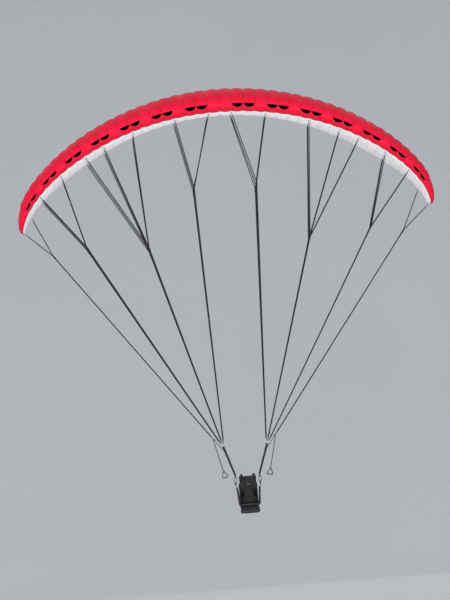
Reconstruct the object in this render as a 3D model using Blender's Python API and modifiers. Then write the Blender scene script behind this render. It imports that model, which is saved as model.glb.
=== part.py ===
"""Paraglider in flight: canopy, lines, risers, brakes, harness and speed bar.

Metres, +Z up, the wing flies towards -Y, and +X is the pilot's left. The origin is on top of
the canopy at its centre, at a quarter of the centre chord, where the air holds the wing up.
"""
import bmesh
import bpy
import numpy as np
from math import cos, pi, radians, sin, sqrt, tan
from mathutils import Matrix, Vector

# Canopy, from the front: the arc that the chord lines follow
HALF_ARC = 5.10          # length of the arc from the centre to a tip
ARC_LEAN = 50.8          # degrees that the arc leans at the tip, growing evenly
TIP_CURL = 36.6          # degrees more that the last cells curl down
CURL_POWER = 10.4
# Canopy, from above and in section
ROOT_CHORD = 2.68
TIP_CHORD = 0.42
THICKNESS = 0.19         # of the chord
CAMBER = 0.037
CAMBER_PLACE = 0.30
TIP_THINNING = 0.40      # share of the thickness that the tip loses
TIP_SWEEP = 0.30         # how far the tip's quarter chord lies behind the centre's
TRIM = 4.0               # degrees nose down
WASH_IN = 6.0            # degrees that the outer wing is turned nose up against the centre
WASH_IN_REACH = 4.2      # along the arc
# Cells
CELLS = 22               # on each side of the centre
ROOT_CELL = 0.2452
CELL_STEP = 0.00227      # each cell is narrower than the one before, up to the last
OPEN_PAIRS = (2, 5, 8, 11, 14, 17, 20)   # ribs with an open cell on both sides
CELL_BILLOW = 0.026
LOWER_BILLOW = 0.014
BILLOW_FADE = 1.6        # the billow is full up to where this is one more than the share of the arc
NOSE_BILLOW = 0.1        # share of the chord under the nose where the billow falls to the lower sail's
# Cloth, far thicker than real cloth so that it is a solid
SHEET = 0.008
EDGE_HALF = 0.0085       # half the thickness where both sails meet at the trailing edge
SEAM_GAP = 0.0014
LIP = 0.07               # the red sail ends here under the nose, share of the chord
FIT = 0.0004             # gap between pieces that touch
# Rows of points round a section, as shares of the chord
UPPER_ROWS = (1.0, 0.82, 0.64, 0.48, 0.34, 0.22, 0.13, 0.065, 0.025, 0.006)
NOSE_ROWS = (0.0, 0.006, 0.022, 0.045, LIP)
LOWER_ROWS = (0.11, 0.22, 0.36, 0.50, 0.64, 0.82, 1.0)
# Mouths, as heights over the chord line in shares of the chord
MOUTH_TOP = 0.005
MOUTH_BOTTOM = -0.026
MOUTH_ROUNDNESS = 0.9    # power of the sine: under 1 is fuller than half an ellipse
MOUTH_HALF_WIDTH = 0.455 # of the cell
MOUTH_DEPTH = 0.09
MOUTH_REACH = 0.06       # ahead of the nose
MOUTH_STEPS = 6          # sides of its round lower edge
# Plates in the wing tips
TIP_PLATE = 0.004
TIP_PLATE_SHARES = (0.70, 0.50, 0.34, 0.20, 0.10, 0.05)

# Heights below the canopy's lower edge at its centre, as measured in the photo
LIP_BELOW_CROWN = 0.421
HANG_Y = 0.10            # the carabiners' place along the flight direction
# Lines: knot's place from the front, x and depth below the lower edge, and its ribs
CASCADES = (
    # name, ribs, knot x, knot depth, place along the rapid link
    ("inner", (1, 4), 0.643, 1.576, -0.028),
    ("middle", (8, 11, 13), 1.650, 2.760, 0.0),
    ("outer", (16, 19), 2.925, 2.625, 0.028),
)
LINE_ROWS = (
    # name, share of the chord, place of its riser strap behind the middle one
    ("a", 0.10, -0.07),
    ("b", 0.36, 0.0),
    ("c", 0.64, 0.07),
)
BRAKE_RIBS = (21, 22)
BRAKE_KNOT = (3.64, 2.68)
BRAKE_CHORD = 0.97
MAIN_RADIUS = 0.012
UPPER_RADIUS = 0.0095
TAIL_RADIUS = 0.008
END_RADIUS = 0.005
TAB_RADIUS = 0.003
TAB_LENGTH = 0.03
TAB_STAND_OFF = 0.12     # share of its radius that a tab's end stays off the sail
TAPER_LENGTH = 0.08
SLEEVE_RADIUS = 0.016
SLEEVE_LENGTH = 0.09
SLEEVE_OVER = 0.012      # past the knot
# Risers
RISER_TOP = (0.456, 6.88)
PULLEY = (0.625, 6.75)
PULLEY_BEHIND = 0.13
PULLEY_RADIUS = 0.022
PULLEY_WIDTH = 0.016
TAIL_OUTWARDS = 0.6      # how far round the pulley the tail leaves it, away from the riser
TAIL_RUN = 0.0006        # running gap between pulley and tail
PULLEY_STRAP_WIDTH = 0.012
PULLEY_STRAP_DROP = 0.12 # down the last riser strap, to where the pulley's strap is sewn on
HAND = (0.48, 7.42)
HAND_AHEAD = 0.10
HANG = (0.25, 7.66)      # lower bar of a carabiner: the line through both is the swing axis
CARABINER_HEIGHT = 0.10
CARABINER_WIDTH = 0.052
CARABINER_WIRE = 0.006
CARABINER_CORNER = 0.010
RISER_WIDTH = 0.040
WEBBING = 0.004
RISER_EYE_ROOM = 0.0022  # between the eye's inside and the carabiner's wire
RISER_EYE_WIDTH = 0.026
RISER_STEM = (0.028, 0.018)
RISER_STEM_TOP = 0.055   # over the carabiner's upper bar, where the straps part
RISER_STEM_OVER = 0.02
RISER_FAN = 0.08         # share of its later distance that a strap has where they part
LINK_HALF_WIDTH = 0.042
LINK_HALF_HEIGHT = 0.035
LINK_WIRE = 0.004
LINK_CORNER = 0.012
# Brake handles
HANDLE_HEIGHT = 0.13
HANDLE_HALF_WIDTH = 0.06
HANDLE_RADIUS = 0.008
HANDLE_TOP_HALF_WIDTH = 0.014
# Lower corner of a handle: (in from the side, over the foot)
HANDLE_CORNER = ((0.0, 0.02), (0.008, 0.004), (0.024, 0.0))
TAIL_SEAT = 0.0065       # from the middle of the handle's top bar to the tail's end
# Harness, heights over the swing axis
SEAT_TOP = -0.45
SEAT_SIZE = (0.3664, 0.40, 0.05)
SEAT_MIDDLE_Y = -0.03
BOTTOM = -0.64
BACK_TOP = 0.145
BACK_LEAN = 12.0
HARNESS_BACK = -0.144    # how far the harness lies behind the swing axis
SEAT_EDGE = 0.012
BACK_FACE = 0.155        # the backrest's lower front edge, behind the axis
BACK_THICK = 0.055
BACK_WIDTH = 0.38
BACK_LIFT = 0.01         # over the seat's top
BACK_EDGE = 0.014
AIRBAG_WIDTH = 0.42
AIRBAG_EDGE = 0.02
AIRBAG_NOSE = 0.18       # its front edge, ahead of the seat's middle
# Airbag protector: behind the backrest (height, off its front face), then under the seat to the front
AIRBAG_BEHIND = ((0.0, 0.135), (-0.05, 0.165), (-0.36, 0.185))
AIRBAG_UNDER = ((0.27, -0.54), (0.19, -0.60), (0.08, BOTTOM), (-0.08, BOTTOM), (-0.17, -0.605),
                (-0.215, -0.55))
PANEL_X = 0.1835         # the side panel's inner face at the seat
PANEL_THICK = 0.028
PANEL_FOOT = SEAT_TOP - 0.04
PANEL_SLACK = 0.0008     # between a side panel and the backrest
PANEL_SPLAY = 5.0        # degrees that the panels lean outwards
PANEL_EDGE = 0.008
# Side panel: height where it leaves the backrest, then its upper and front edge
PANEL_TOP = -0.10
PANEL_FRONT = ((0.17, -0.085), (0.02, -0.12), (-0.08, -0.22), (-0.20, -0.33), (-0.225, -0.40))
PANEL_TOE = -0.21
# Main webbing from the carabiner down the side panel
HANG_EYE_ROOM = 0.0012
HANG_EYE_WIDTH = 0.024
HANG_NECK = 0.065        # under the carabiner's lower bar
HANG_STRAP_WIDTH = 0.035
HANG_STRAP_TOP = -0.045
HANG_STRAP_FOOT = -0.44
HANG_STRAP_SWEEP = 0.045 # how far its foot lies behind its top
# Shoulder, chest and leg straps
SHOULDER_X = 0.125
SHOULDER_WIDTH = 0.05
SHOULDER_THICK = 0.010
SHOULDER_PATH = ((0.2725, 0.1168), (0.213, 0.158), (0.123, 0.155), (0.033, 0.09), (-0.017, -0.02),
                 (-0.007, -0.15), (0.073, -0.25), (0.1882, -0.2885))
CHEST = (-0.0177, -0.05)
CHEST_STRAP = (0.025, 0.003)
CHEST_BUCKLE = (0.06, 0.012, 0.036)
CHEST_BUCKLE_EDGE = 0.003
LEG_STRAP = (0.03, 0.005)
LEG_STRAP_Y = -0.165
LEG_RISE = 0.15
# A leg strap's bends: (from the middle, over the seat), up to the side panel
LEG_BENDS = ((0.035, 0.0012), (0.055, 0.06), (0.11, 0.12), (0.16, 0.145))
LEG_END_GAP = 0.0012
RESERVE_GRIP = (0.012, 0.09, 0.035)
RESERVE_PLACE = (-0.04, -0.36)   # behind and over the swing axis
RESERVE_GAP = 0.0002
RESERVE_EDGE = 0.004
# Speed bar
BAR_PIVOT = (-0.2337, -0.485)    # behind and over the swing axis
BAR_DROP = 0.12
BAR_HALF = 0.16
BAR_RADIUS = 0.010
CORD_RADIUS = 0.003
CORD_X = 0.145
SIDES = (("left", 1.0), ("right", -1.0))

ARC_STEPS = 600
EYE_STEPS = 12           # sides of a loop of webbing
ROD_SIDE = (0.3, 1.0, 0.1)   # a direction that no rod follows
# How the axes of a flat outline lie: its own z becomes X, or -Y
ALONG_X = Matrix(((0, 0, 1), (1, 0, 0), (0, 1, 0)))
ALONG_Y = Matrix(((1, 0, 0), (0, 0, -1), (0, 1, 0)))


# Scene

for old in list(bpy.data.objects):
    bpy.data.objects.remove(old, do_unlink=True)


def collection(name):
    made = bpy.data.collections.new(name)
    bpy.context.scene.collection.children.link(made)
    return made


PARTS = collection("paraglider")
CUTTERS = collection("cutters")


def finish(name, colour, roughness, metallic=0.0):
    material = bpy.data.materials.new(name)
    material.use_nodes = True
    shader = material.node_tree.nodes["Principled BSDF"]
    shader.inputs["Base Color"].default_value = (*colour, 1.0)
    shader.inputs["Roughness"].default_value = roughness
    shader.inputs["Metallic"].default_value = metallic
    return material


RED_CLOTH = finish("red_cloth", (0.60, 0.012, 0.045), 0.55)
WHITE_CLOTH = finish("white_cloth", (0.80, 0.76, 0.77), 0.6)
LINE = finish("line", (0.012, 0.012, 0.014), 0.7)
WEB = finish("webbing", (0.014, 0.014, 0.016), 0.75)
STEEL = finish("steel", (0.35, 0.35, 0.37), 0.3, 1.0)
PLASTIC = finish("plastic", (0.02, 0.02, 0.022), 0.45)
HARNESS_CLOTH = finish("harness_cloth", (0.015, 0.016, 0.019), 0.7)


# Tools for making solids

def place(name, mesh, material=None, home=None):
    made = bpy.data.objects.new(name, mesh)
    (home or PARTS).objects.link(made)
    if material is not None:
        mesh.materials.clear()
        mesh.materials.append(material)
    return made


def solid_mesh(source):
    """The evaluated shape of an object as a welded mesh in world space; the object goes."""
    bpy.context.view_layer.update()
    shown = source.evaluated_get(bpy.context.evaluated_depsgraph_get())
    mesh = bpy.data.meshes.new_from_object(shown)
    work = bmesh.new()
    work.from_mesh(mesh)
    work.transform(source.matrix_world)
    bmesh.ops.remove_doubles(work, verts=work.verts, dist=0.00002)
    bmesh.ops.recalc_face_normals(work, faces=work.faces)
    work.to_mesh(mesh)
    work.free()
    bpy.data.objects.remove(source, do_unlink=True)
    return mesh


def bevelled(made, width, segments=2):
    bevel = made.modifiers.new("rounded", 'BEVEL')
    bevel.width = width
    bevel.segments = segments
    return made


def smooth(mesh, angle=40.0):
    mesh.shade_smooth()
    mesh.set_sharp_from_angle(angle=radians(angle))


def block_mesh(name, size, matrix):
    mesh = bpy.data.meshes.new(name)
    work = bmesh.new()
    bmesh.ops.create_cube(work, size=1.0)
    work.transform(matrix @ Matrix.Diagonal((*size, 1.0)))
    work.to_mesh(mesh)
    work.free()
    return mesh


def frame_of(origin, along, across):
    """A matrix with its z along one direction and its x as near as can be to another."""
    z = Vector(along).normalized()
    x = Vector(across)
    x = (x - z * x.dot(z)).normalized()
    y = z.cross(x)
    turned = Matrix((x, y, z)).transposed().to_4x4()
    return Matrix.Translation(Vector(origin)) @ turned


def slab_mesh(name, start, end, across, width, thickness):
    """A flat strap from one point to another."""
    start = Vector(start)
    end = Vector(end)
    matrix = frame_of((start + end) / 2, end - start, across)
    return block_mesh(name, (width, thickness, (end - start).length), matrix)


def rod_mesh(name, start, end, radius, sides=8):
    start = Vector(start)
    end = Vector(end)
    mesh = bpy.data.meshes.new(name)
    work = bmesh.new()
    bmesh.ops.create_cone(work, cap_ends=True, segments=sides, radius1=radius, radius2=radius,
                          depth=(end - start).length)
    work.transform(frame_of((start + end) / 2, end - start, ROD_SIDE))
    work.to_mesh(mesh)
    work.free()
    return mesh


def tube_mesh(name, points, radius, radii=None, resolution=1, closed=False):
    curve = bpy.data.curves.new(name, 'CURVE')
    curve.dimensions = '3D'
    curve.bevel_depth = radius
    curve.bevel_resolution = resolution
    curve.use_fill_caps = not closed
    spline = curve.splines.new('POLY')
    spline.points.add(len(points) - 1)
    for index, point in enumerate(points):
        spline.points[index].co = (*point, 1.0)
        spline.points[index].radius = radii[index] / radius if radii else 1.0
    spline.use_cyclic_u = closed
    return solid_mesh(place(name, curve))


def plate_mesh(name, outline, thickness, matrix, holes=()):
    """A flat outline, made thick across itself."""
    curve = bpy.data.curves.new(name, 'CURVE')
    curve.dimensions = '2D'
    curve.fill_mode = 'BOTH'
    curve.extrude = thickness / 2
    for ring in (outline, *holes):
        spline = curve.splines.new('POLY')
        spline.points.add(len(ring) - 1)
        for index, point in enumerate(ring):
            spline.points[index].co = (point[0], point[1], 0.0, 1.0)
        spline.use_cyclic_u = True
    made = place(name, curve)
    made.matrix_world = matrix
    return solid_mesh(made)


def union_mesh(name, meshes):
    """All the meshes as one closed body."""
    body = place(name, meshes[0])
    helpers = []
    for index, mesh in enumerate(meshes[1:]):
        helper = place(f"{name}_helper_{index}", mesh)
        helpers.append(helper)
        join = body.modifiers.new("join", 'BOOLEAN')
        join.operation = 'UNION'
        join.object = helper
    merged = solid_mesh(body)
    for helper in helpers:
        bpy.data.objects.remove(helper, do_unlink=True)
    return merged


def ribbon_outline(path, thickness):
    """The outline of a band that follows a path in its own plane."""
    path = [Vector(point) for point in path]
    left = []
    right = []
    for index, point in enumerate(path):
        before = path[max(index - 1, 0)]
        after = path[min(index + 1, len(path) - 1)]
        ahead = (after - before).normalized()
        sideways = Vector((-ahead.y, ahead.x)) * thickness / 2
        left.append(point + sideways)
        right.append(point - sideways)
    return left + right[::-1]


def arc_points(centre, radius, start, end, count):
    """Points on a circle's arc, angles in degrees."""
    angles = [radians(start + (end - start) * step / (count - 1)) for step in range(count)]
    return [(centre[0] + radius * cos(a), centre[1] + radius * sin(a)) for a in angles]


def smooth_path(points, steps=4):
    """A curve through the points (Catmull-Rom), as a finer list."""
    points = [Vector(point) for point in points]
    padded = [points[0] * 2 - points[1], *points, points[-1] * 2 - points[-2]]
    fine = []
    for index in range(1, len(padded) - 2):
        a, b, c, d = padded[index - 1:index + 3]
        for step in range(steps):
            t = step / steps
            fine.append(0.5 * (2 * b + (c - a) * t + (2 * a - 5 * b + 4 * c - d) * t ** 2
                               + (3 * b - a - 3 * c + d) * t ** 3))
    fine.append(points[-1])
    return fine


# Canopy

ARC_S = np.linspace(0.0, HALF_ARC, ARC_STEPS)
ARC_ANGLE = np.radians(ARC_LEAN * ARC_S / HALF_ARC + TIP_CURL * (ARC_S / HALF_ARC) ** CURL_POWER)


def running_sum(values):
    steps = (values[1:] + values[:-1]) / 2 * np.diff(ARC_S)
    return np.concatenate([[0.0], np.cumsum(steps)])


ARC_X = running_sum(np.cos(ARC_ANGLE))
ARC_DROP = running_sum(np.sin(ARC_ANGLE))


def rib_place(rib):
    """Distance of a rib from the centre along the arc; the last cell takes what is left."""
    if rib >= CELLS:
        return HALF_ARC
    return rib * ROOT_CELL - CELL_STEP * rib * (rib - 1) / 2


def chord_at(s):
    return TIP_CHORD + (ROOT_CHORD - TIP_CHORD) * sqrt(max(0.0, 1.0 - (s / HALF_ARC) ** 2))


def ease(t):
    t = min(max(t, 0.0), 1.0)
    return t * t * (3 - 2 * t)


def section_height(share, side, chord, fullness):
    """Height of the section's outline over the chord line, in shares of the chord."""
    x = share
    half = 5 * THICKNESS * (0.2969 * sqrt(x) - 0.126 * x - 0.3516 * x ** 2 + 0.2843 * x ** 3
                            - 0.1036 * x ** 4)
    p = CAMBER_PLACE
    if x < p:
        middle = CAMBER / p ** 2 * (2 * p * x - x ** 2)
    else:
        middle = CAMBER / (1 - p) ** 2 * (1 - 2 * p + 2 * p * x - x ** 2)
    return (middle + side * half) * fullness + side * EDGE_HALF / chord * x


class Section:
    """The canopy's section at a distance along the arc, on the +X or the -X side."""

    def __init__(self, s, hand):
        self.chord = chord_at(s)
        self.fullness = 1.0 - TIP_THINNING * ease((s - rib_place(CELLS - 2))
                                                  / (HALF_ARC - rib_place(CELLS - 2)))
        lean = float(np.interp(s, ARC_S, ARC_ANGLE))
        x = float(np.interp(s, ARC_S, ARC_X))
        drop = float(np.interp(s, ARC_S, ARC_DROP))
        pitch = radians(TRIM - WASH_IN * ease(s / WASH_IN_REACH))
        up = Vector((hand * sin(lean), 0.0, cos(lean)))
        self.along = Vector((hand * cos(lean), 0.0, -sin(lean)))
        self.back = Vector((0.0, cos(pitch), 0.0)) + up * sin(pitch)
        self.up = up * cos(pitch) - Vector((0.0, sin(pitch), 0.0))
        self.quarter = Vector((hand * x, TIP_SWEEP * (s / HALF_ARC) ** 3, -drop - CROWN))

    def point(self, share, height):
        return self.quarter + self.back * ((share - 0.25) * self.chord) + self.up * (height * self.chord)

    def height(self, share, side):
        return section_height(share, side, self.chord, self.fullness)

    def outline(self, rows):
        """Points on the outline, for rows of (share of the chord, +1 upper or -1 lower)."""
        return [self.point(share, self.height(share, side)) for share, side in rows]


CROWN = section_height(0.25, 1.0, ROOT_CHORD, 1.0) * ROOT_CHORD
RED_ROWS = [(share, 1) for share in UPPER_ROWS] + [(share, -1) for share in NOSE_ROWS]
WHITE_ROWS = [(share, -1) for share in (LIP, *LOWER_ROWS)]


def stations():
    """Places across the whole canopy: every rib and the middle of every cell."""
    places = []
    for rib in range(CELLS):
        places.append((rib_place(rib), 0.0))
        places.append(((rib_place(rib) + rib_place(rib + 1)) / 2, 1.0))
    places.append((HALF_ARC, 0.0))
    left = [(s, -1.0, swell) for s, swell in reversed(places[1:])]
    return left + [(s, 1.0, swell) for s, swell in places]


def billow(share, side):
    """How far the middle of a cell swells out at a place round the section."""
    if side > 0:
        return CELL_BILLOW * (1 - share ** 2)
    fade = min(share / NOSE_BILLOW, 1.0)
    return (CELL_BILLOW * (1 - fade) + LOWER_BILLOW * fade) * (1 - share ** 2)


def sail_points(rows, skip=0.0):
    """A grid of points over the canopy, one list for each station."""
    grid = []
    for s, hand, swell in stations():
        section = Section(s, hand)
        shifted = [(rows[0][0] + skip / section.chord, rows[0][1]), *rows[1:]]
        points = section.outline(shifted)
        size = swell * min(1.0, BILLOW_FADE - s / HALF_ARC)
        line = []
        for index, (share, side) in enumerate(shifted):
            before = points[max(index - 1, 0)]
            after = points[min(index + 1, len(points) - 1)]
            out = section.along.cross(after - before).normalized() * -hand
            line.append(points[index] + out * billow(share, side) * size)
        grid.append(line)
    return grid


def sail(name, grid, material):
    """The open surface over a grid of points, made thick towards the inside."""
    mesh = bpy.data.meshes.new(name)
    work = bmesh.new()
    verts = [[work.verts.new(point) for point in line] for line in grid]
    for here, there in zip(verts, verts[1:]):
        for row in range(len(here) - 1):
            work.faces.new((here[row], here[row + 1], there[row + 1], there[row]))
    work.to_mesh(mesh)
    work.free()
    made = place(name, mesh, material)
    shell = made.modifiers.new("cloth", 'SOLIDIFY')
    shell.thickness = SHEET
    shell.offset = -1.0
    smooth(mesh, 60.0)
    return made


def mouth_outline(half_width, top, bottom):
    """A half moon: straight above, round below."""
    low = []
    for step in range(1, MOUTH_STEPS):
        angle = pi * step / MOUTH_STEPS
        low.append((half_width * cos(angle), top - (top - bottom) * sin(angle) ** MOUTH_ROUNDNESS))
    return [(-half_width, top), (half_width, top), *low]


def mouth_cutters():
    """One closed prism for each open cell, all in one cutter."""
    work = bmesh.new()
    for rib in OPEN_PAIRS:
        for inner in (rib - 1, rib):
            low = rib_place(inner)
            high = rib_place(inner + 1)
            for _, hand in SIDES:
                section = Section((low + high) / 2, hand)
                c = section.chord
                turned = Matrix((section.along * hand, section.up, section.along.cross(section.up) * hand))
                middle = section.point(0.5 * (MOUTH_DEPTH - MOUTH_REACH), 0.0)
                matrix = Matrix.Translation(middle) @ turned.transposed().to_4x4()
                outline = mouth_outline(MOUTH_HALF_WIDTH * (high - low), MOUTH_TOP * c, MOUTH_BOTTOM * c)
                prism = plate_mesh("mouth", outline, (MOUTH_DEPTH + MOUTH_REACH) * c, matrix)
                work.from_mesh(prism)
                bpy.data.meshes.remove(prism)
    mesh = bpy.data.meshes.new("mouth_cutters")
    work.to_mesh(mesh)
    work.free()
    cutter = place("mouth_cutters", mesh, home=CUTTERS)
    cutter.hide_render = True
    cutter.display_type = 'WIRE'
    return cutter


def canopy():
    red = sail("upper_sail", sail_points(RED_ROWS), RED_CLOTH)
    mouths = red.modifiers.new("mouths", 'BOOLEAN')
    mouths.operation = 'DIFFERENCE'
    mouths.object = mouth_cutters()
    sail("lower_sail", sail_points(WHITE_ROWS, skip=SEAM_GAP), WHITE_CLOTH)


def tip_rib(name, hand):
    """The plate that closes a wing tip between both sails."""
    section = Section(HALF_ARC, hand)
    inside = (SHEET + 2 * FIT) / section.chord
    upper = [(share, section.height(share, 1) - inside) for share in TIP_PLATE_SHARES]
    lower = [(share, section.height(share, -1) + inside) for share in TIP_PLATE_SHARES[::-1]]
    outline = [((share - 0.25) * section.chord, height * section.chord) for share, height in upper + lower]
    turned = Matrix((section.back, section.up, section.back.cross(section.up))).transposed().to_4x4()
    matrix = Matrix.Translation(section.quarter - section.along * TIP_PLATE) @ turned
    place(name, plate_mesh(name, outline, TIP_PLATE, matrix), RED_CLOTH)


# Lines

def depth(value):
    """Height of a place measured down from the canopy's lower edge."""
    return -value - LIP_BELOW_CROWN


RISER_TILT = Vector((RISER_TOP[0] - HANG[0], 0.0, HANG[1] - RISER_TOP[1])).normalized()


def link_centre(hand, behind):
    return Vector((hand * RISER_TOP[0], HANG_Y + behind, depth(RISER_TOP[1])))


def riser_axes(hand):
    """Directions up the risers and across them, outwards."""
    up = Vector((hand * RISER_TILT.x, 0.0, RISER_TILT.z))
    across = Vector((hand * RISER_TILT.z, 0.0, -RISER_TILT.x))
    return up, across


def sail_tab(rib, share, hand):
    """Where a line meets the lower sail, and the direction out of the sail there."""
    section = Section(rib_place(rib), hand)
    rows = [row for row, _ in WHITE_ROWS]
    index = max(i for i, row in enumerate(rows[:-1]) if row <= share)
    low, high = section.outline(WHITE_ROWS[index:index + 2])
    point = low.lerp(high, (share - rows[index]) / (rows[index + 1] - rows[index]))
    return point, -section.up


def cascade(name, ribs, share, knot, foot, hand):
    """A main line up to a knot and its upper lines on to the sail, as one body."""
    tabs = [sail_tab(rib, share, hand) for rib in ribs]
    middle = sum((point for point, _ in tabs), Vector()) / len(tabs)
    height = depth(knot[1])
    along = (height - foot.z) / (middle.z - foot.z)
    joint = Vector((hand * knot[0], foot.y + (middle.y - foot.y) * along, height))
    ahead = (joint - foot).normalized()
    main = tube_mesh(name, [foot, foot + ahead * TAPER_LENGTH, joint], MAIN_RADIUS,
                     [END_RADIUS, MAIN_RADIUS, MAIN_RADIUS])
    sleeve = rod_mesh(name, joint - ahead * SLEEVE_LENGTH, joint + ahead * SLEEVE_OVER, SLEEVE_RADIUS)
    pieces = [main, sleeve]
    for point, out in tabs:
        start = point + out * (FIT + TAB_RADIUS * TAB_STAND_OFF)
        bend = point + out * TAB_LENGTH
        towards = (joint - bend).normalized()
        path = [start, bend, bend + towards * TAPER_LENGTH, joint]
        radii = [TAB_RADIUS, END_RADIUS, UPPER_RADIUS, UPPER_RADIUS]
        pieces.append(tube_mesh(name, path, UPPER_RADIUS, radii))
    mesh = union_mesh(name, pieces)
    smooth(mesh)
    place(name, mesh, LINE)


def line_foot(hand, behind, beside, knot):
    """The lower end of a main line, just over the upper bar of its rapid link."""
    up, across = riser_axes(hand)
    bar = link_centre(hand, behind) + up * LINK_HALF_HEIGHT + across * beside
    ahead = (Vector((hand * knot[0], bar.y, depth(knot[1]))) - bar).normalized()
    slant = abs(ahead.dot(across))
    return bar + ahead * (LINK_WIRE + END_RADIUS * slant + FIT)


def lines():
    for side, hand in SIDES:
        for row, share, behind in LINE_ROWS:
            for group, ribs, knot_x, knot_depth, beside in CASCADES:
                knot = (knot_x, knot_depth)
                foot = line_foot(hand, behind, beside, knot)
                cascade(f"line_{row}_{group}_{side}", ribs, share, knot, foot, hand)
        wheel = pulley_centre(hand)
        knot = Vector((hand * BRAKE_KNOT[0], wheel.y, depth(BRAKE_KNOT[1])))
        foot = wheel + off_wheel((knot - wheel).normalized(), END_RADIUS)
        cascade(f"brake_line_{side}", BRAKE_RIBS, BRAKE_CHORD, BRAKE_KNOT, foot, hand)


# Risers, rapid links and carabiners

def pulley_centre(hand):
    return Vector((hand * PULLEY[0], HANG_Y + PULLEY_BEHIND, depth(PULLEY[1])))


def off_wheel(ahead, half_thickness):
    """From a pulley's middle to the end of a line or strap that meets its rim."""
    level = sqrt(1 - ahead.y ** 2)
    return ahead * ((PULLEY_RADIUS + FIT + half_thickness * abs(ahead.y)) / level)


def rounded_ring(half_width, half_height, corner, steps=3):
    """A closed ring with round corners, in its own plane."""
    points = []
    for turn, (x, z) in enumerate(((1, 1), (-1, 1), (-1, -1), (1, -1))):
        centre = (x * (half_width - corner), z * (half_height - corner))
        points += arc_points(centre, corner, 90 * turn, 90 * turn + 90, steps)
    return points


def rapid_link(name, hand, behind):
    up, across = riser_axes(hand)
    centre = link_centre(hand, behind)
    ring = rounded_ring(LINK_HALF_WIDTH, LINK_HALF_HEIGHT, LINK_CORNER)
    mesh = tube_mesh(name, [centre + across * x + up * z for x, z in ring], LINK_WIRE, closed=True)
    smooth(mesh)
    place(name, mesh, STEEL)


def carabiner(name, hand):
    centre = Vector((hand * HANG[0], HANG_Y, depth(HANG[1]) + CARABINER_HEIGHT / 2))
    ring = rounded_ring(CARABINER_WIDTH / 2, CARABINER_HEIGHT / 2, CARABINER_CORNER)
    points = [centre + Vector((x, 0.0, z)) for x, z in ring]
    mesh = tube_mesh(name, points, CARABINER_WIRE, resolution=2, closed=True)
    smooth(mesh)
    place(name, mesh, STEEL)


def eye_mesh(name, centre, inner, width):
    """A loop of webbing round a bar that lies along X."""
    last = 360 * (1 - 1 / EYE_STEPS)
    outer = arc_points((0.0, 0.0), inner + WEBBING, 0, last, EYE_STEPS)
    hole = arc_points((0.0, 0.0), inner, 0, last, EYE_STEPS)
    matrix = Matrix.Translation(centre) @ ALONG_X.to_4x4()
    return plate_mesh(name, outer, width, matrix, holes=(hole,))


def seated(inner):
    """How far an eye's middle lies off a carabiner's bar when its inside rests on the bar."""
    return inner * cos(pi / EYE_STEPS) - CARABINER_WIRE - FIT


def riser(name, hand):
    """Three straps from the rapid links down to one loop in the carabiner."""
    bar = Vector((hand * HANG[0], HANG_Y, depth(HANG[1]) + CARABINER_HEIGHT))
    inner = CARABINER_WIRE + RISER_EYE_ROOM
    eye_centre = bar + Vector((0.0, 0.0, seated(inner)))
    up, across = riser_axes(hand)
    stem_foot = eye_centre + Vector((0.0, 0.0, inner + WEBBING / 2))
    parting = bar + Vector((0.0, 0.0, RISER_STEM_TOP))
    stem_top = parting + Vector((0.0, 0.0, RISER_STEM_OVER))
    pieces = [eye_mesh(name, eye_centre, inner, RISER_EYE_WIDTH),
              slab_mesh(name, stem_foot, stem_top, (1, 0, 0), *RISER_STEM)]
    for _, _, behind in LINE_ROWS:
        top = link_centre(hand, behind) - up * (LINK_HALF_HEIGHT + LINK_WIRE + FIT)
        start = parting + Vector((0.0, behind * RISER_FAN, 0.0))
        top_along = (top - start).normalized()
        tilt = abs(top_along.y) * WEBBING / 2 + abs(top_along.dot(across)) * RISER_WIDTH / 2
        pieces.append(slab_mesh(name, start, top - top_along * tilt, across, RISER_WIDTH, WEBBING))
    strap_foot = top - top_along * PULLEY_STRAP_DROP
    wheel = pulley_centre(hand)
    strap_end = wheel + off_wheel((strap_foot - wheel).normalized(), WEBBING / 2)
    pieces.append(slab_mesh(name, strap_foot, strap_end, across, PULLEY_STRAP_WIDTH, WEBBING))
    place(name, union_mesh(name, pieces), WEB)


def pulley(name, hand):
    centre = pulley_centre(hand)
    half = Vector((0.0, PULLEY_WIDTH / 2, 0.0))
    mesh = rod_mesh(name, centre - half, centre + half, PULLEY_RADIUS, sides=16)
    smooth(mesh, 30.0)
    place(name, mesh, STEEL)


# Brakes

def brake_hold(hand):
    """The knot over a brake handle, and the direction from it up to the pulley."""
    knot = Vector((hand * HAND[0], HANG_Y - HAND_AHEAD, depth(HAND[1])))
    return knot, (pulley_centre(hand) - knot).normalized()


def brake_tail(name, hand):
    knot, up = brake_hold(hand)
    wheel = pulley_centre(hand)
    leaving = (-up + Vector((hand * TAIL_OUTWARDS, 0.0, 0.0))).normalized()
    start = wheel + off_wheel(leaving, END_RADIUS) + leaving * TAIL_RUN
    mesh = tube_mesh(name, [start, start - up * TAPER_LENGTH, knot + up * TAIL_SEAT],
                     TAIL_RADIUS, [END_RADIUS, TAIL_RADIUS, TAIL_RADIUS])
    smooth(mesh)
    place(name, mesh, LINE)


def brake_handle(name, hand):
    """A three-cornered grip that hangs on the tail."""
    knot, up = brake_hold(hand)
    across = Vector((1.0, 0.0, 0.0))
    across = (across - up * across.dot(up)).normalized()
    corner = [(HANDLE_HALF_WIDTH - inwards, over - HANDLE_HEIGHT) for inwards, over in HANDLE_CORNER]
    ring = [(HANDLE_TOP_HALF_WIDTH, 0.0), (-HANDLE_TOP_HALF_WIDTH, 0.0),
            *[(-x, z) for x, z in corner], *corner[::-1]]
    mesh = tube_mesh(name, [knot + across * x + up * z for x, z in ring], HANDLE_RADIUS, closed=True)
    smooth(mesh)
    place(name, mesh, PLASTIC)


# Harness, in heights over the swing axis and places behind it

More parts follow.
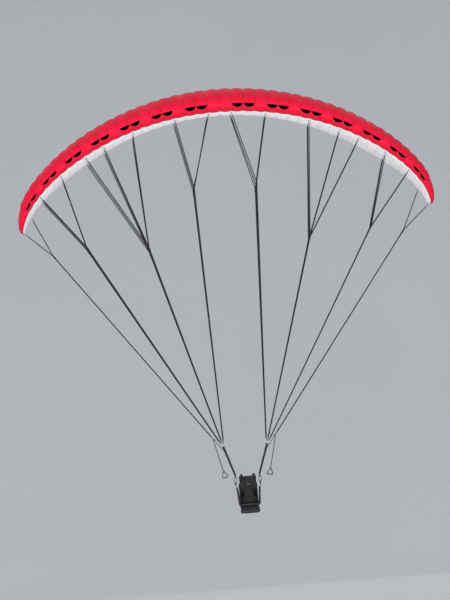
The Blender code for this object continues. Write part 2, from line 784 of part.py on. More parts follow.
HARNESS = Vector((0.0, HANG_Y + HARNESS_BACK, depth(HANG[1])))


def at(x, y, z):
    return HARNESS + Vector((x, y, z))


def harness_plane(x):
    """Matrix for an outline of (behind the axis, over the axis) at a distance from the middle."""
    return Matrix.Translation(at(x, 0.0, 0.0)) @ ALONG_X.to_4x4()


def seat():
    x, y, z = SEAT_SIZE
    matrix = Matrix.Translation(at(0.0, SEAT_MIDDLE_Y, SEAT_TOP - z / 2))
    bevelled(place("seat", block_mesh("seat", (x, y, z), matrix), HARNESS_CLOTH), SEAT_EDGE)


def back_point(height, off=0.0):
    """A point on the backrest's front face, at a height over the axis."""
    lean = radians(BACK_LEAN)
    return Vector((BACK_FACE + (height - SEAT_TOP) * tan(lean) + off / cos(lean), height))


def backrest():
    foot = SEAT_TOP + BACK_LIFT
    outline = [back_point(foot), back_point(BACK_TOP), back_point(BACK_TOP, BACK_THICK),
               back_point(foot, BACK_THICK)]
    mesh = plate_mesh("backrest", outline, BACK_WIDTH, harness_plane(0.0))
    bevelled(place("backrest", mesh, HARNESS_CLOTH), BACK_EDGE)


def airbag_protector():
    """Padding under the seat and behind the back."""
    under = SEAT_TOP - SEAT_SIZE[2] - FIT
    behind = [back_point(height, off) for height, off in AIRBAG_BEHIND]
    outline = [(SEAT_MIDDLE_Y - AIRBAG_NOSE, under), back_point(under, BACK_THICK + FIT),
               back_point(0.0, BACK_THICK + FIT), *behind, *AIRBAG_UNDER]
    mesh = plate_mesh("airbag_protector", outline, AIRBAG_WIDTH, harness_plane(0.0))
    bevelled(place("airbag_protector", mesh, HARNESS_CLOTH), AIRBAG_EDGE)


def side_panel(name, hand):
    outline = [(PANEL_TOE, PANEL_FOOT), (back_point(PANEL_FOOT).x - PANEL_SLACK, PANEL_FOOT),
               (back_point(PANEL_TOP).x - PANEL_SLACK, PANEL_TOP), *PANEL_FRONT]
    tilt = Matrix.Rotation(radians(PANEL_SPLAY) * hand, 4, 'Y')
    foot = at(hand * (PANEL_X + PANEL_THICK / 2), 0.0, PANEL_FOOT)
    lowered = Matrix.Translation((0.0, 0.0, -PANEL_FOOT)) @ ALONG_X.to_4x4()
    matrix = Matrix.Translation(foot) @ tilt @ lowered
    mesh = plate_mesh(name, outline, PANEL_THICK, matrix)
    bevelled(place(name, mesh, HARNESS_CLOTH), PANEL_EDGE)


def panel_outer(hand, height):
    """The side panel's outer face at a height over the axis."""
    rise = (height - PANEL_FOOT) * tan(radians(PANEL_SPLAY))
    return hand * (PANEL_X + PANEL_THICK / 2 + rise + PANEL_THICK / 2 / cos(radians(PANEL_SPLAY)))


def hang_loop(name, hand):
    """The main webbing of the harness, from the carabiner down the side panel."""
    inner = CARABINER_WIRE + HANG_EYE_ROOM
    bar = Vector((hand * HANG[0], HANG_Y, depth(HANG[1])))
    top = bar - Vector((0.0, 0.0, inner + WEBBING / 2))
    neck = bar - Vector((0.0, 0.0, HANG_NECK))
    off = hand * (WEBBING / 2 + FIT)
    upper = at(panel_outer(hand, HANG_STRAP_TOP) + off, -HARNESS_BACK, HANG_STRAP_TOP)
    lower = at(panel_outer(hand, HANG_STRAP_FOOT) + off, -HARNESS_BACK - HANG_STRAP_SWEEP, HANG_STRAP_FOOT)
    pieces = [eye_mesh(name, bar - Vector((0.0, 0.0, seated(inner))), inner, HANG_EYE_WIDTH),
              slab_mesh(name, top, neck, (1, 0, 0), HANG_EYE_WIDTH, WEBBING * 2),
              slab_mesh(name, upper, lower, (0, 1, 0), HANG_STRAP_WIDTH, WEBBING)]
    place(name, union_mesh(name, pieces), WEB)


def shoulder_strap(name, hand):
    outline = ribbon_outline(smooth_path(SHOULDER_PATH, steps=3), SHOULDER_THICK)
    mesh = plate_mesh(name, outline, SHOULDER_WIDTH, harness_plane(hand * SHOULDER_X))
    place(name, mesh, WEB)


def chest_strap():
    reach = SHOULDER_X - SHOULDER_WIDTH / 2 - FIT
    mesh = slab_mesh("chest_strap", at(-reach, *CHEST), at(reach, *CHEST), (0, 0, 1), *CHEST_STRAP)
    place("chest_strap", mesh, WEB)
    ahead = CHEST_STRAP[1] / 2 + FIT + CHEST_BUCKLE[1] / 2
    matrix = Matrix.Translation(at(0.0, CHEST[0] - ahead, CHEST[1]))
    buckle = place("chest_buckle", block_mesh("chest_buckle", CHEST_BUCKLE, matrix), PLASTIC)
    bevelled(buckle, CHEST_BUCKLE_EDGE)


def leg_strap(name, hand):
    """A strap from the middle of the seat's front edge up to the side panel."""
    width, thickness = LEG_STRAP
    inner_face = PANEL_X + (SEAT_TOP + LEG_RISE - PANEL_FOOT) * tan(radians(PANEL_SPLAY))
    bends = (*LEG_BENDS, (inner_face - LEG_END_GAP, LEG_RISE))
    path = smooth_path([(x, SEAT_TOP + z) for x, z in bends], steps=3)
    outline = [(hand * point[0], point[1]) for point in ribbon_outline(path, thickness)]
    matrix = Matrix.Translation(at(0.0, LEG_STRAP_Y, 0.0)) @ ALONG_Y.to_4x4()
    place(name, plate_mesh(name, outline, width, matrix), WEB)


def reserve_handle():
    """The red grip of the reserve, on the right side panel."""
    behind, height = RESERVE_PLACE
    tilt = Matrix.Rotation(radians(-PANEL_SPLAY), 4, 'Y')
    middle = at(panel_outer(-1.0, height) - RESERVE_GRIP[0] / 2 - RESERVE_GAP - FIT, behind, height)
    mesh = block_mesh("reserve_handle", RESERVE_GRIP, Matrix.Translation(middle) @ tilt)
    bevelled(place("reserve_handle", mesh, RED_CLOTH), RESERVE_EDGE)


def speed_bar():
    height = BAR_PIVOT[1] - BAR_DROP
    mesh = rod_mesh("speed_bar", at(-BAR_HALF, BAR_PIVOT[0], height), at(BAR_HALF, BAR_PIVOT[0], height),
                    BAR_RADIUS, sides=12)
    smooth(mesh, 30.0)
    place("speed_bar", mesh, STEEL)
    for side, hand in SIDES:
        name = f"speed_bar_cord_{side}"
        top = at(hand * CORD_X, BAR_PIVOT[0], BAR_PIVOT[1])
        foot = at(hand * CORD_X, BAR_PIVOT[0], height + BAR_RADIUS + FIT)
        place(name, rod_mesh(name, top, foot, CORD_RADIUS, sides=6), LINE)


def build():
    canopy()
    lines()
    for side, hand in SIDES:
        tip_rib(f"tip_rib_{side}", hand)
        for row, _, behind in LINE_ROWS:
            rapid_link(f"rapid_link_{row}_{side}", hand, behind)
        riser(f"riser_{side}", hand)
        carabiner(f"carabiner_{side}", hand)
        pulley(f"brake_pulley_{side}", hand)
        brake_tail(f"brake_tail_{side}", hand)
        brake_handle(f"brake_handle_{side}", hand)
        side_panel(f"side_panel_{side}", hand)
        hang_loop(f"hang_loop_{side}", hand)
        shoulder_strap(f"shoulder_strap_{side}", hand)
        leg_strap(f"leg_strap_{side}", hand)
    seat()
    backrest()
    airbag_protector()
    chest_strap()
    reserve_handle()
    speed_bar()


build()
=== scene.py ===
"""Looks of the paraglider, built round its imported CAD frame.

Metres, in the CAD's own frame: +Z up, the wing flies towards -Y, and +X is the pilot's left.
The canopy's sections, the lines' knots and the harness's places repeat the numbers of part.py.
A number without a name inside a shape's function is a place or size of that one shape.
"""
import bmesh
import bpy
import numpy as np
from math import cos, pi, radians, sin, sqrt, tan
from mathutils import Matrix, Quaternion, Vector, noise
from mathutils.bvhtree import BVHTree


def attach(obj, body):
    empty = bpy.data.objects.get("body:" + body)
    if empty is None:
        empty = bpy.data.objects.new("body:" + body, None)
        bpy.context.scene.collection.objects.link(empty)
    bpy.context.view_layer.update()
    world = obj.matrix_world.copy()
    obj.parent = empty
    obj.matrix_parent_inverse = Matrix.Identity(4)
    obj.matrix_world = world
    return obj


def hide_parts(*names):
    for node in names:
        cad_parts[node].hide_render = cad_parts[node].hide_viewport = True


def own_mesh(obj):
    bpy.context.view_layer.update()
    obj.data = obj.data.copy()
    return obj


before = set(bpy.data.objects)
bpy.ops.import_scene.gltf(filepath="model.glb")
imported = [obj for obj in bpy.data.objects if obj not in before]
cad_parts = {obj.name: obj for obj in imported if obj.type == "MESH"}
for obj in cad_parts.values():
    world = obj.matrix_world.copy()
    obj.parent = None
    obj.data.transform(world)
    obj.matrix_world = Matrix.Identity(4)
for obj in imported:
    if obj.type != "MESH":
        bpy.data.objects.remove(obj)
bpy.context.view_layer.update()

# Canopy, as in part.py
HALF_ARC = 5.10
ARC_LEAN = 50.8
TIP_CURL = 36.6
CURL_POWER = 10.4
ROOT_CHORD = 2.68
TIP_CHORD = 0.42
THICKNESS = 0.19
CAMBER = 0.037
CAMBER_PLACE = 0.30
TIP_THINNING = 0.40
TIP_SWEEP = 0.30
TRIM = 4.0
WASH_IN = 6.0
WASH_IN_REACH = 4.2
CELLS = 22
ROOT_CELL = 0.2452
CELL_STEP = 0.00227
OPEN_PAIRS = (2, 5, 8, 11, 14, 17, 20)
CELL_BILLOW = 0.026
LOWER_BILLOW = 0.014
BILLOW_FADE = 1.6
NOSE_BILLOW = 0.1
LIP = 0.07
LIP_BELOW_CROWN = 0.421
MOUTH_TOP = 0.005
MOUTH_BOTTOM = -0.026
MOUTH_ROUNDNESS = 0.9
MOUTH_HALF_WIDTH = 0.455
CAD_EDGE_HALF = 0.0085
# Canopy, finer than in part.py
EDGE_HALF = 0.0036       # half of the trailing edge's thickness
CLOTH = 0.003            # the sails' thickness here
COLUMNS = 8              # in each cell
UPPER_STEPS = 64
LOWER_STEPS = 44
CREASE_HEIGHT = 0.0032
PUCKER_HEIGHT = 0.0028
SPAN_STEPS = 40          # along half the wing, for the cloth's flat sizes
ROUND_STEPS = 60         # round a section, for the same
MOUTH_SIDES = 14         # round the lower edge of a mouth
CUT_START = 0.30         # from the quarter line ahead to where the mouths' cut begins, in chords
CUT_DEPTH = 0.14         # how far the cut goes back from there, in chords
RIB_INSET = 0.0045       # between the ribs inside and the sails' outer faces
TIP_FULLNESS = 0.9

SIDES = (("left", 1.0), ("right", -1.0))
X_AXIS = Vector((1.0, 0.0, 0.0))
Y_AXIS = Vector((0.0, 1.0, 0.0))
Z_AXIS = Vector((0.0, 0.0, 1.0))


# Meshes

def linked(name, data):
    """A new object in the scene."""
    made = bpy.data.objects.new(name, data)
    bpy.context.scene.collection.objects.link(made)
    return made


def dressed(made, body, material, stands_for=()):
    """Gives an object its material and body, and hides the CAD nodes that it stands for."""
    made.data.materials.clear()
    made.data.materials.append(material)
    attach(made, body)
    if stands_for:
        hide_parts(*stands_for)
    return made


def new_mesh(name, work, angle=40.0):
    """A mesh from a bmesh, smooth apart from its edges sharper than the angle."""
    bmesh.ops.recalc_face_normals(work, faces=work.faces)
    mesh = bpy.data.meshes.new(name)
    work.to_mesh(mesh)
    work.free()
    mesh.shade_smooth()
    mesh.set_sharp_from_angle(angle=radians(angle))
    return mesh


def piece(name, work, body, material, stands_for=()):
    """A piece of the scene from a bmesh."""
    return dressed(linked(name, new_mesh(name, work)), body, material, stands_for)


def read(mesh, what):
    """Each vertex's co or normal, as rows of an array."""
    flat = np.empty(len(mesh.vertices) * 3, dtype=np.float32)
    mesh.vertices.foreach_get(what, flat)
    return flat.reshape(-1, 3)


def surface(mesh):
    """A mesh made ready for rays and nearest points."""
    points = [Vector(row) for row in read(mesh, "co").tolist()]
    return BVHTree.FromPolygons(points, [tuple(p.vertices) for p in mesh.polygons])


def circle(steps):
    """(cosine, sine) at even steps round a circle."""
    return [(cos(2 * pi * k / steps), sin(2 * pi * k / steps)) for k in range(steps)]


def bridge(work, rings):
    """Faces between closed rings that follow one another."""
    for low, high in zip(rings, rings[1:]):
        for k in range(len(low)):
            n = (k + 1) % len(low)
            work.faces.new((low[k], low[n], high[n], high[k]))


def disc(radius, sides=12):
    """A round profile for sweep."""
    return [(radius * c, radius * s) for c, s in circle(sides)]


def band(width, thickness, crown=0.0):
    """A strap's profile for sweep: a rectangle with soft edges, fuller in the middle by crown."""
    w = width / 2
    t = thickness / 2
    soft = min(t * 0.8, w * 0.3)
    top = [(w, t - soft), (w - soft, t), (w * 0.4, t + crown), (-w * 0.4, t + crown), (-w + soft, t),
           (-w, t - soft)]
    below = [(-x, -y) for x, y in top]
    return below[-1:] + top + below[:-1]


def sweep(work, path, profile, across=None, scales=None, closed=False):
    """Adds a profile swept along a path, with UVs in metres: round the profile and along the path.

    across is the profile's x direction, or one for each point of the path.
    """
    path = [Vector(point) for point in path]
    count = len(path)
    layer = work.loops.layers.uv.verify()
    rings = []
    turning = isinstance(across, list)
    side = Vector(across) if across is not None and not turning else None
    for index, point in enumerate(path):
        if turning:
            side = Vector(across[index])
        before = path[(index - 1) % count] if closed else path[max(index - 1, 0)]
        after = path[(index + 1) % count] if closed else path[min(index + 1, count - 1)]
        ahead = (after - before).normalized()
        if side is None:
            side = ahead.orthogonal()
        level = (side - ahead * side.dot(ahead)).normalized()
        if across is None:
            side = level
        up = ahead.cross(level)
        scale = scales[index] if scales else 1.0
        rings.append([work.verts.new(point + (level * x + up * y) * scale) for x, y in profile])
    around = [0.0]
    for (ax, ay), (bx, by) in zip(profile, profile[1:] + profile[:1]):
        around.append(around[-1] + sqrt((bx - ax) ** 2 + (by - ay) ** 2))
    along = [0.0]
    for a, b in zip(path, path[1:] + path[:1]):
        along.append(along[-1] + (b - a).length)
    sides = len(profile)
    for index in range(count if closed else count - 1):
        here = rings[index]
        there = rings[(index + 1) % count]
        for k in range(sides):
            n = (k + 1) % sides
            face = work.faces.new((here[k], here[n], there[n], there[k]))
            marks = ((around[k], along[index]), (around[k + 1], along[index]),
                     (around[k + 1], along[index + 1]), (around[k], along[index + 1]))
            for loop, mark in zip(face.loops, marks):
                loop[layer].uv = mark
    if not closed:
        work.faces.new(rings[0][::-1])
        work.faces.new(rings[-1])
    return rings


def curve_through(points, steps=4, closed=False):
    """A smooth curve through the points (Catmull-Rom), as a finer list."""
    points = [Vector(point) for point in points]
    if closed:
        padded = [points[-1], *points, points[0], points[1]]
    else:
        padded = [points[0] * 2 - points[1], *points, points[-1] * 2 - points[-2]]
    fine = []
    for index in range(1, len(padded) - 2):
        a, b, c, d = padded[index - 1:index + 3]
        for step in range(steps):
            t = step / steps
            fine.append(0.5 * (2 * b + (c - a) * t + (2 * a - 5 * b + 4 * c - d) * t ** 2
                               + (3 * b - a - 3 * c + d) * t ** 3))
    if not closed:
        fine.append(points[-1])
    return fine


# Materials

class Nodes:
    """A short way to write a material's nodes."""

    def __init__(self, name, colour, roughness, **sockets):
        self.material = bpy.data.materials.new(name)
        self.material.use_nodes = True
        self.tree = self.material.node_tree
        self.shader = self.tree.nodes["Principled BSDF"]
        self.colour = colour
        self.shader.inputs["Base Color"].default_value = (*colour, 1.0)
        self.shader.inputs["Roughness"].default_value = roughness
        for socket, value in sockets.items():
            self.shader.inputs[socket.replace("_", " ")].default_value = value

    def node(self, kind):
        return self.tree.nodes.new("ShaderNode" + kind)

    def put(self, target, value):
        if isinstance(value, bpy.types.NodeSocket):
            self.tree.links.new(value, target)
        else:
            target.default_value = value

    def math(self, operation, *values):
        node = self.node("Math")
        node.operation = operation
        for socket, value in zip(node.inputs, values):
            self.put(socket, value)
        return node.outputs[0]

    def times(self, value, factor):
        return self.math('MULTIPLY', value, factor)

    def split(self, vector):
        """The vector's three parts."""
        node = self.node("SeparateXYZ")
        self.put(node.inputs[0], vector)
        return node.outputs

    def uv(self, name):
        """The UV map as a vector, and its two numbers."""
        node = self.node("UVMap")
        node.uv_map = name
        parts = self.split(node.outputs[0])
        return node.outputs[0], parts[0], parts[1]

    def place(self):
        return self.node("TexCoord").outputs["Object"]

    def stretched(self, vector, scale):
        node = self.node("Mapping")
        self.put(node.inputs["Vector"], vector)
        self.put(node.inputs["Scale"], scale)
        return node.outputs[0]

    def noise(self, vector, scale, detail=3.0):
        node = self.node("TexNoise")
        self.put(node.inputs["Vector"], vector)
        self.put(node.inputs["Scale"], scale)
        self.put(node.inputs["Detail"], detail)
        return node.outputs["Fac"]

    def ramp(self, value, low, high, start=0.0, end=1.0):
        """A number from start to end while the value goes from low to high."""
        node = self.node("MapRange")
        node.interpolation_type = 'SMOOTHSTEP'
        for socket, given in zip(node.inputs, (value, low, high, start, end)):
            self.put(socket, given)
        return node.outputs[0]

    def lines(self, value, spacing, width):
        """1 on thin lines at an even spacing, 0 between them."""
        near = self.math('PINGPONG', value, spacing / 2)
        return self.ramp(near, width, width * 0.4)

    def shade(self, *steps):
        """The colour, multiplied towards each step's shade (a grey or a colour) by its share."""
        last = (*self.colour, 1.0)
        for share, shade in steps:
            node = self.node("Mix")
            node.data_type = 'RGBA'
            node.blend_type = 'MULTIPLY'
            self.put(node.inputs["Factor"], share)
            self.put(node.inputs["A"], last)
            tint = (shade,) * 3 if isinstance(shade, float) else shade
            self.put(node.inputs["B"], (*tint, 1.0))
            last = node.outputs["Result"]
        self.put(self.shader.inputs["Base Color"], last)

    def rough(self, value):
        self.put(self.shader.inputs["Roughness"], value)

    def bump(self, height, distance, strength=1.0):
        node = self.node("Bump")
        self.put(node.inputs["Strength"], strength)
        self.put(node.inputs["Distance"], distance)
        self.put(node.inputs["Height"], height)
        self.put(self.shader.inputs["Normal"], node.outputs[0])


def sailcloth(name, colour, seam):
    """Ripstop: a fine square grid of thick threads, stitched seams along the ribs, slight ageing."""
    made = Nodes(name, colour, 0.5, Specular_IOR_Level=0.06)
    vector, u, v = made.uv("metres")
    _, cell, _ = made.uv("panel")
    grid = made.math('MAXIMUM', made.lines(u, 0.008, 0.0007), made.lines(v, 0.008, 0.0007))
    aged = made.noise(made.stretched(vector, (1.0, 0.35, 1.0)), 2.4, 5.0)
    edge = made.math('ABSOLUTE', made.math('SUBTRACT', cell, 0.5))
    sewn = made.ramp(edge, 0.472, 0.492)
    off_stitch = made.math('ABSOLUTE', made.math('SUBTRACT', edge, 0.480))
    stitch = made.times(made.ramp(off_stitch, 0.006, 0.003), made.lines(v, 0.012, 0.005))
    made.shade((made.times(grid, 0.35), 0.8),
               (made.ramp(aged, 0.35, 0.75, 0.0, 0.5), (0.86, 0.86, 0.88)),
               (sewn, seam),
               (made.times(stitch, 0.6), 0.6))
    made.rough(made.ramp(aged, 0.3, 0.7, 0.38, 0.52))
    height = made.math('ADD', made.times(grid, 0.4), sewn)
    fine = made.noise(vector, 60.0, 4.0)
    made.bump(made.math('ADD', height, made.times(fine, 0.8)), 0.0006)
    return made.material


def braid(name, colour):
    """A line's braided sheath: two sets of slanting strands."""
    made = Nodes(name, colour, 0.6, Specular_IOR_Level=0.2)
    vector, u, v = made.uv("UVMap")
    turn = made.times(u, 2.0)
    one, two = (made.lines(made.math(way, v, turn), 0.006, 0.0024) for way in ('ADD', 'SUBTRACT'))
    strands = made.math('MAXIMUM', one, two)
    worn = made.noise(vector, 9.0)
    made.shade((strands, 0.45), (made.ramp(worn, 0.4, 0.7), 0.8))
    made.rough(made.ramp(worn, 0.3, 0.7, 0.5, 0.7))
    made.bump(strands, 0.0006, 0.7)
    return made.material


def webbing(name, colour, thread):
    """Woven strap: a herringbone of ribs across it, worn towards the thread's colour."""
    made = Nodes(name, colour, 0.62, Specular_IOR_Level=0.2)
    vector, u, v = made.uv("UVMap")
    rib = made.lines(made.math('ADD', v, made.math('PINGPONG', u, 0.004)), 0.0028, 0.0011)
    worn = made.noise(vector, 14.0)
    made.shade((rib, 0.5), (made.ramp(worn, 0.45, 0.75), thread))
    made.rough(made.ramp(worn, 0.3, 0.7, 0.52, 0.72))
    made.bump(rib, 0.0006, 0.8)
    return made.material


def woven(name, colour, roughness=0.62):
    """Strong coated cloth: a fine basket weave by place, scuffed in patches."""
    made = Nodes(name, colour, roughness, Specular_IOR_Level=0.25)
    place = made.place()
    threads = [made.lines(part, 0.0026, 0.0009) for part in made.split(place)]
    weave = made.math('MAXIMUM', made.math('MAXIMUM', threads[0], threads[1]), threads[2])
    worn = made.noise(place, 11.0, 6.0)
    made.shade((weave, 0.55), (made.ramp(worn, 0.5, 0.75, 0.0, 0.7), 1.9))
    made.rough(made.ramp(worn, 0.35, 0.7, roughness - 0.08, roughness + 0.1))
    made.bump(made.math('ADD', weave, made.times(made.noise(place, 90.0), 0.6)), 0.0005, 0.8)
    return made.material


def metal(name, colour, roughness):
    """Turned or polished metal with fine scratches and dull patches."""
    made = Nodes(name, colour, roughness, Metallic=1.0)
    place = made.place()
    scratches = made.noise(made.stretched(place, (60.0, 60.0, 900.0)), 3.0, 5.0)
    dull = made.noise(place, 40.0)
    made.shade((made.ramp(dull, 0.4, 0.7), (0.8, 0.8, 0.82)))
    made.rough(made.math('ADD', made.ramp(dull, 0.3, 0.7, roughness - 0.05, roughness + 0.1),
                         made.times(scratches, 0.08)))
    made.bump(scratches, 0.0001, 0.5)
    return made.material


def moulded(name, colour):
    """Moulded plastic with a fine grain."""
    made = Nodes(name, colour, 0.45)
    place = made.place()
    grain = made.noise(place, 700.0, 2.0)
    worn = made.noise(place, 30.0)
    made.shade((made.ramp(worn, 0.5, 0.8), 1.4))
    made.rough(made.ramp(worn, 0.3, 0.7, 0.4, 0.55))
    made.bump(grain, 0.0002, 0.6)
    return made.material


RED_CLOTH = sailcloth("red_ripstop", (0.575, 0.006, 0.030), (0.62, 0.55, 0.55))
WHITE_CLOTH = sailcloth("white_ripstop", (0.90, 0.86, 0.86), (0.75, 0.74, 0.76))
RIB_CLOTH = sailcloth("rib_cloth", (0.20, 0.19, 0.20), 0.8)
RED_TAPE = webbing("red_tape", (0.42, 0.008, 0.028), 0.8)
WHITE_TAPE = webbing("white_tape", (0.72, 0.68, 0.69), 0.85)
BRAID = braid("braided_line", (0.011, 0.011, 0.013))
WEBBING_CLOTH = webbing("black_webbing", (0.014, 0.014, 0.016), 0.7)
RED_WEBBING = webbing("red_webbing_cloth", (0.5, 0.012, 0.03), 0.8)
HARNESS_CLOTH = woven("harness_cordura", (0.015, 0.016, 0.019))
PIPING_CLOTH = woven("piping_cloth", (0.03, 0.031, 0.034), 0.5)
STEEL = metal("maillon_steel", (0.45, 0.45, 0.47), 0.25)
ALLOY = metal("black_alloy", (0.09, 0.09, 0.10), 0.35)
PLASTIC = moulded("black_plastic", (0.018, 0.018, 0.02))


# Canopy

ARC_S = np.linspace(0.0, HALF_ARC, 600)
ARC_ANGLE = np.radians(ARC_LEAN * ARC_S / HALF_ARC + TIP_CURL * (ARC_S / HALF_ARC) ** CURL_POWER)


def running_sum(values):
    steps = (values[1:] + values[:-1]) / 2 * np.diff(ARC_S)
    return np.concatenate([[0.0], np.cumsum(steps)])


ARC_X = running_sum(np.cos(ARC_ANGLE))
ARC_DROP = running_sum(np.sin(ARC_ANGLE))


def rib_place(rib):
    if rib >= CELLS:
        return HALF_ARC
    return rib * ROOT_CELL - CELL_STEP * rib * (rib - 1) / 2


def chord_at(s):
    return TIP_CHORD + (ROOT_CHORD - TIP_CHORD) * sqrt(max(0.0, 1.0 - (s / HALF_ARC) ** 2))


def ease(t):
    t = min(max(t, 0.0), 1.0)
    return t * t * (3 - 2 * t)


def section_height(x, side, chord, fullness, edge_half=EDGE_HALF):
    """Height of the section's outline over the chord line, in shares of the chord."""
    half = 5 * THICKNESS * (0.2969 * sqrt(x) - 0.126 * x - 0.3516 * x ** 2 + 0.2843 * x ** 3
                            - 0.1036 * x ** 4)
    p = CAMBER_PLACE
    if x < p:
        middle = CAMBER / p ** 2 * (2 * p * x - x ** 2)
    else:
        middle = CAMBER / (1 - p) ** 2 * (1 - 2 * p + 2 * p * x - x ** 2)
    return (middle + side * half) * fullness + side * edge_half / chord * x


CROWN = section_height(0.25, 1.0, ROOT_CHORD, 1.0, CAD_EDGE_HALF) * ROOT_CHORD


class Section:
    """The canopy's section at a distance along the arc, on the +X or the -X side."""

    def __init__(self, s, hand):
        self.chord = chord_at(s)
        outer = rib_place(CELLS - 2)
        self.fullness = 1.0 - TIP_THINNING * ease((s - outer) / (HALF_ARC - outer))
        lean = float(np.interp(s, ARC_S, ARC_ANGLE))
        x = float(np.interp(s, ARC_S, ARC_X))
        drop = float(np.interp(s, ARC_S, ARC_DROP))
        pitch = radians(TRIM - WASH_IN * ease(s / WASH_IN_REACH))
        up = Vector((hand * sin(lean), 0.0, cos(lean)))
        self.along = Vector((hand * cos(lean), 0.0, -sin(lean)))
        self.back = Vector((0.0, cos(pitch), 0.0)) + up * sin(pitch)
        self.up = up * cos(pitch) - Vector((0.0, sin(pitch), 0.0))
        self.quarter = Vector((hand * x, TIP_SWEEP * (s / HALF_ARC) ** 3, -drop - CROWN))

    def point(self, share, height):
        return self.quarter + self.back * ((share - 0.25) * self.chord) + self.up * (height * self.chord)

    def skin(self, share, side):
        return self.point(share, section_height(share, side, self.chord, self.fullness))


def columns(steps):
    """(distance from the centre, hand, rib, place in its cell) over the span, right tip to left."""
    half = []
    for rib in range(CELLS):
        low = rib_place(rib)
        high = rib_place(rib + 1)
        half += [(low + (high - low) * k / steps, rib, k / steps) for k in range(steps)]
    half.append((HALF_ARC, CELLS - 1, 1.0))
    right = [(s, -1.0, rib, t) for s, rib, t in half[:0:-1]]
    return right + [(s, 1.0, rib, t) for s, rib, t in half]


def billow(share, side):
    """How far the middle of a cell swells out at a place round the section."""
    if side > 0:
        return CELL_BILLOW * (1 - share ** 2)
    fade = min(share / NOSE_BILLOW, 1.0)
    return (CELL_BILLOW * (1 - fade) + LOWER_BILLOW * fade) * (1 - share ** 2)


def crease(x, share, side, swell):
    """Small wrinkles: long ones down a cell's middle, short puckers across its seams."""
    long_one = noise.noise(Vector((x * 13.0, share * 3.2, 3.0 + side)))
    pucker = noise.noise(Vector((x * 5.0, share * 46.0, 9.0 + side)))
    fade = min(1.0, share * 8.0) * (1.0 - 0.6 * share)
    return CREASE_HEIGHT * long_one * swell * fade + PUCKER_HEIGHT * pucker * (1 - swell) ** 2 * fade


def sail_grid(rows, places, inset=None):
    """Points over the canopy with their UVs, one list for each column; inset lowers rows."""
    grid = []
    marks = []
    for s, hand, _, t in places:
        section = Section(s, hand)
        points = [section.skin(share, side) for share, side in rows]
        swell = 4 * t * (1 - t)
        size = swell * min(1.0, BILLOW_FADE - s / HALF_ARC)
        line = []
        distance = 0.0
        mark = []
        for index, (share, side) in enumerate(rows):
            before = points[max(index - 1, 0)]
            after = points[min(index + 1, len(points) - 1)]
            out = section.along.cross(after - before).normalized() * -hand
            off = billow(share, side) * size + crease(hand * s, share, side, swell)
            if inset:
                off -= inset.get(index, 0.0)
            line.append(points[index] + out * off)
            distance += (points[index] - before).length
            mark.append((hand * s, distance))
        grid.append(line)
        marks.append(mark)
    return grid, marks


def sail_mesh(name, rows, places, inset=None):
    """A sail's mesh, with UVs in metres and by the place in its cell."""
    grid, marks = sail_grid(rows, places, inset)
    count = len(rows)
    faces = []
    metres = []
    panel = []
    for i in range(len(grid) - 1):
        rib = min(places[i][2], places[i + 1][2])
        low = rib_place(rib)
        wide = rib_place(rib + 1) - low
        a, b = ((places[n][0] - low) / wide for n in (i, i + 1))
        for k in range(count - 1):
            faces.append((i * count + k, i * count + k + 1, (i + 1) * count + k + 1, (i + 1) * count + k))
            metres += [marks[i][k], marks[i][k + 1], marks[i + 1][k + 1], marks[i + 1][k]]
            panel += [(a, 0.0), (a, 0.0), (b, 0.0), (b, 0.0)]
    mesh = bpy.data.meshes.new(name)
    mesh.from_pydata([point for line in grid for point in line], [], faces)
    for title, values in (("metres", metres), ("panel", panel)):
        layer = mesh.uv_layers.new(name=title)
        layer.data.foreach_set("uv", np.array(values, dtype=np.float32).ravel())
    mesh.shade_smooth()
    return mesh


def baked(made):
    """Puts an object's modifiers into its mesh."""
    bpy.context.view_layer.update()
    shown = made.evaluated_get(bpy.context.evaluated_depsgraph_get())
    mesh = bpy.data.meshes.new_from_object(shown)
    made.modifiers.clear()
    old = made.data
    made.data = mesh
    bpy.data.meshes.remove(old)
    return made


def thickened(made, thickness):
    """Gives a cloth its thickness, inwards."""
    shell = made.modifiers.new("cloth", 'SOLIDIFY')
    shell.thickness = thickness
    shell.offset = -1.0
    shell.use_even_offset = False
    return made


def mouth_ring(section, wide):
    """Half moon in front of an open cell: straight above, round below."""
    c = section.chord
    w = MOUTH_HALF_WIDTH * wide
    top = MOUTH_TOP * c
    low = (MOUTH_TOP - MOUTH_BOTTOM) * c
    ring = [(-w + 2 * w * k / 8, top) for k in range(9)]
    for k in range(1, MOUTH_SIDES):
        angle = pi * k / MOUTH_SIDES
        ring.append((w * cos(angle), top - low * sin(angle) ** MOUTH_ROUNDNESS))
    start = section.quarter + section.back * (-CUT_START * c)
    return [start + section.along * x + section.up * z for x, z in ring]


def open_cells():
    for rib in OPEN_PAIRS:
        for inner in (rib - 1, rib):
            low = rib_place(inner)
            high = rib_place(inner + 1)
            for _, hand in SIDES:
                yield Section((low + high) / 2, hand), high - low


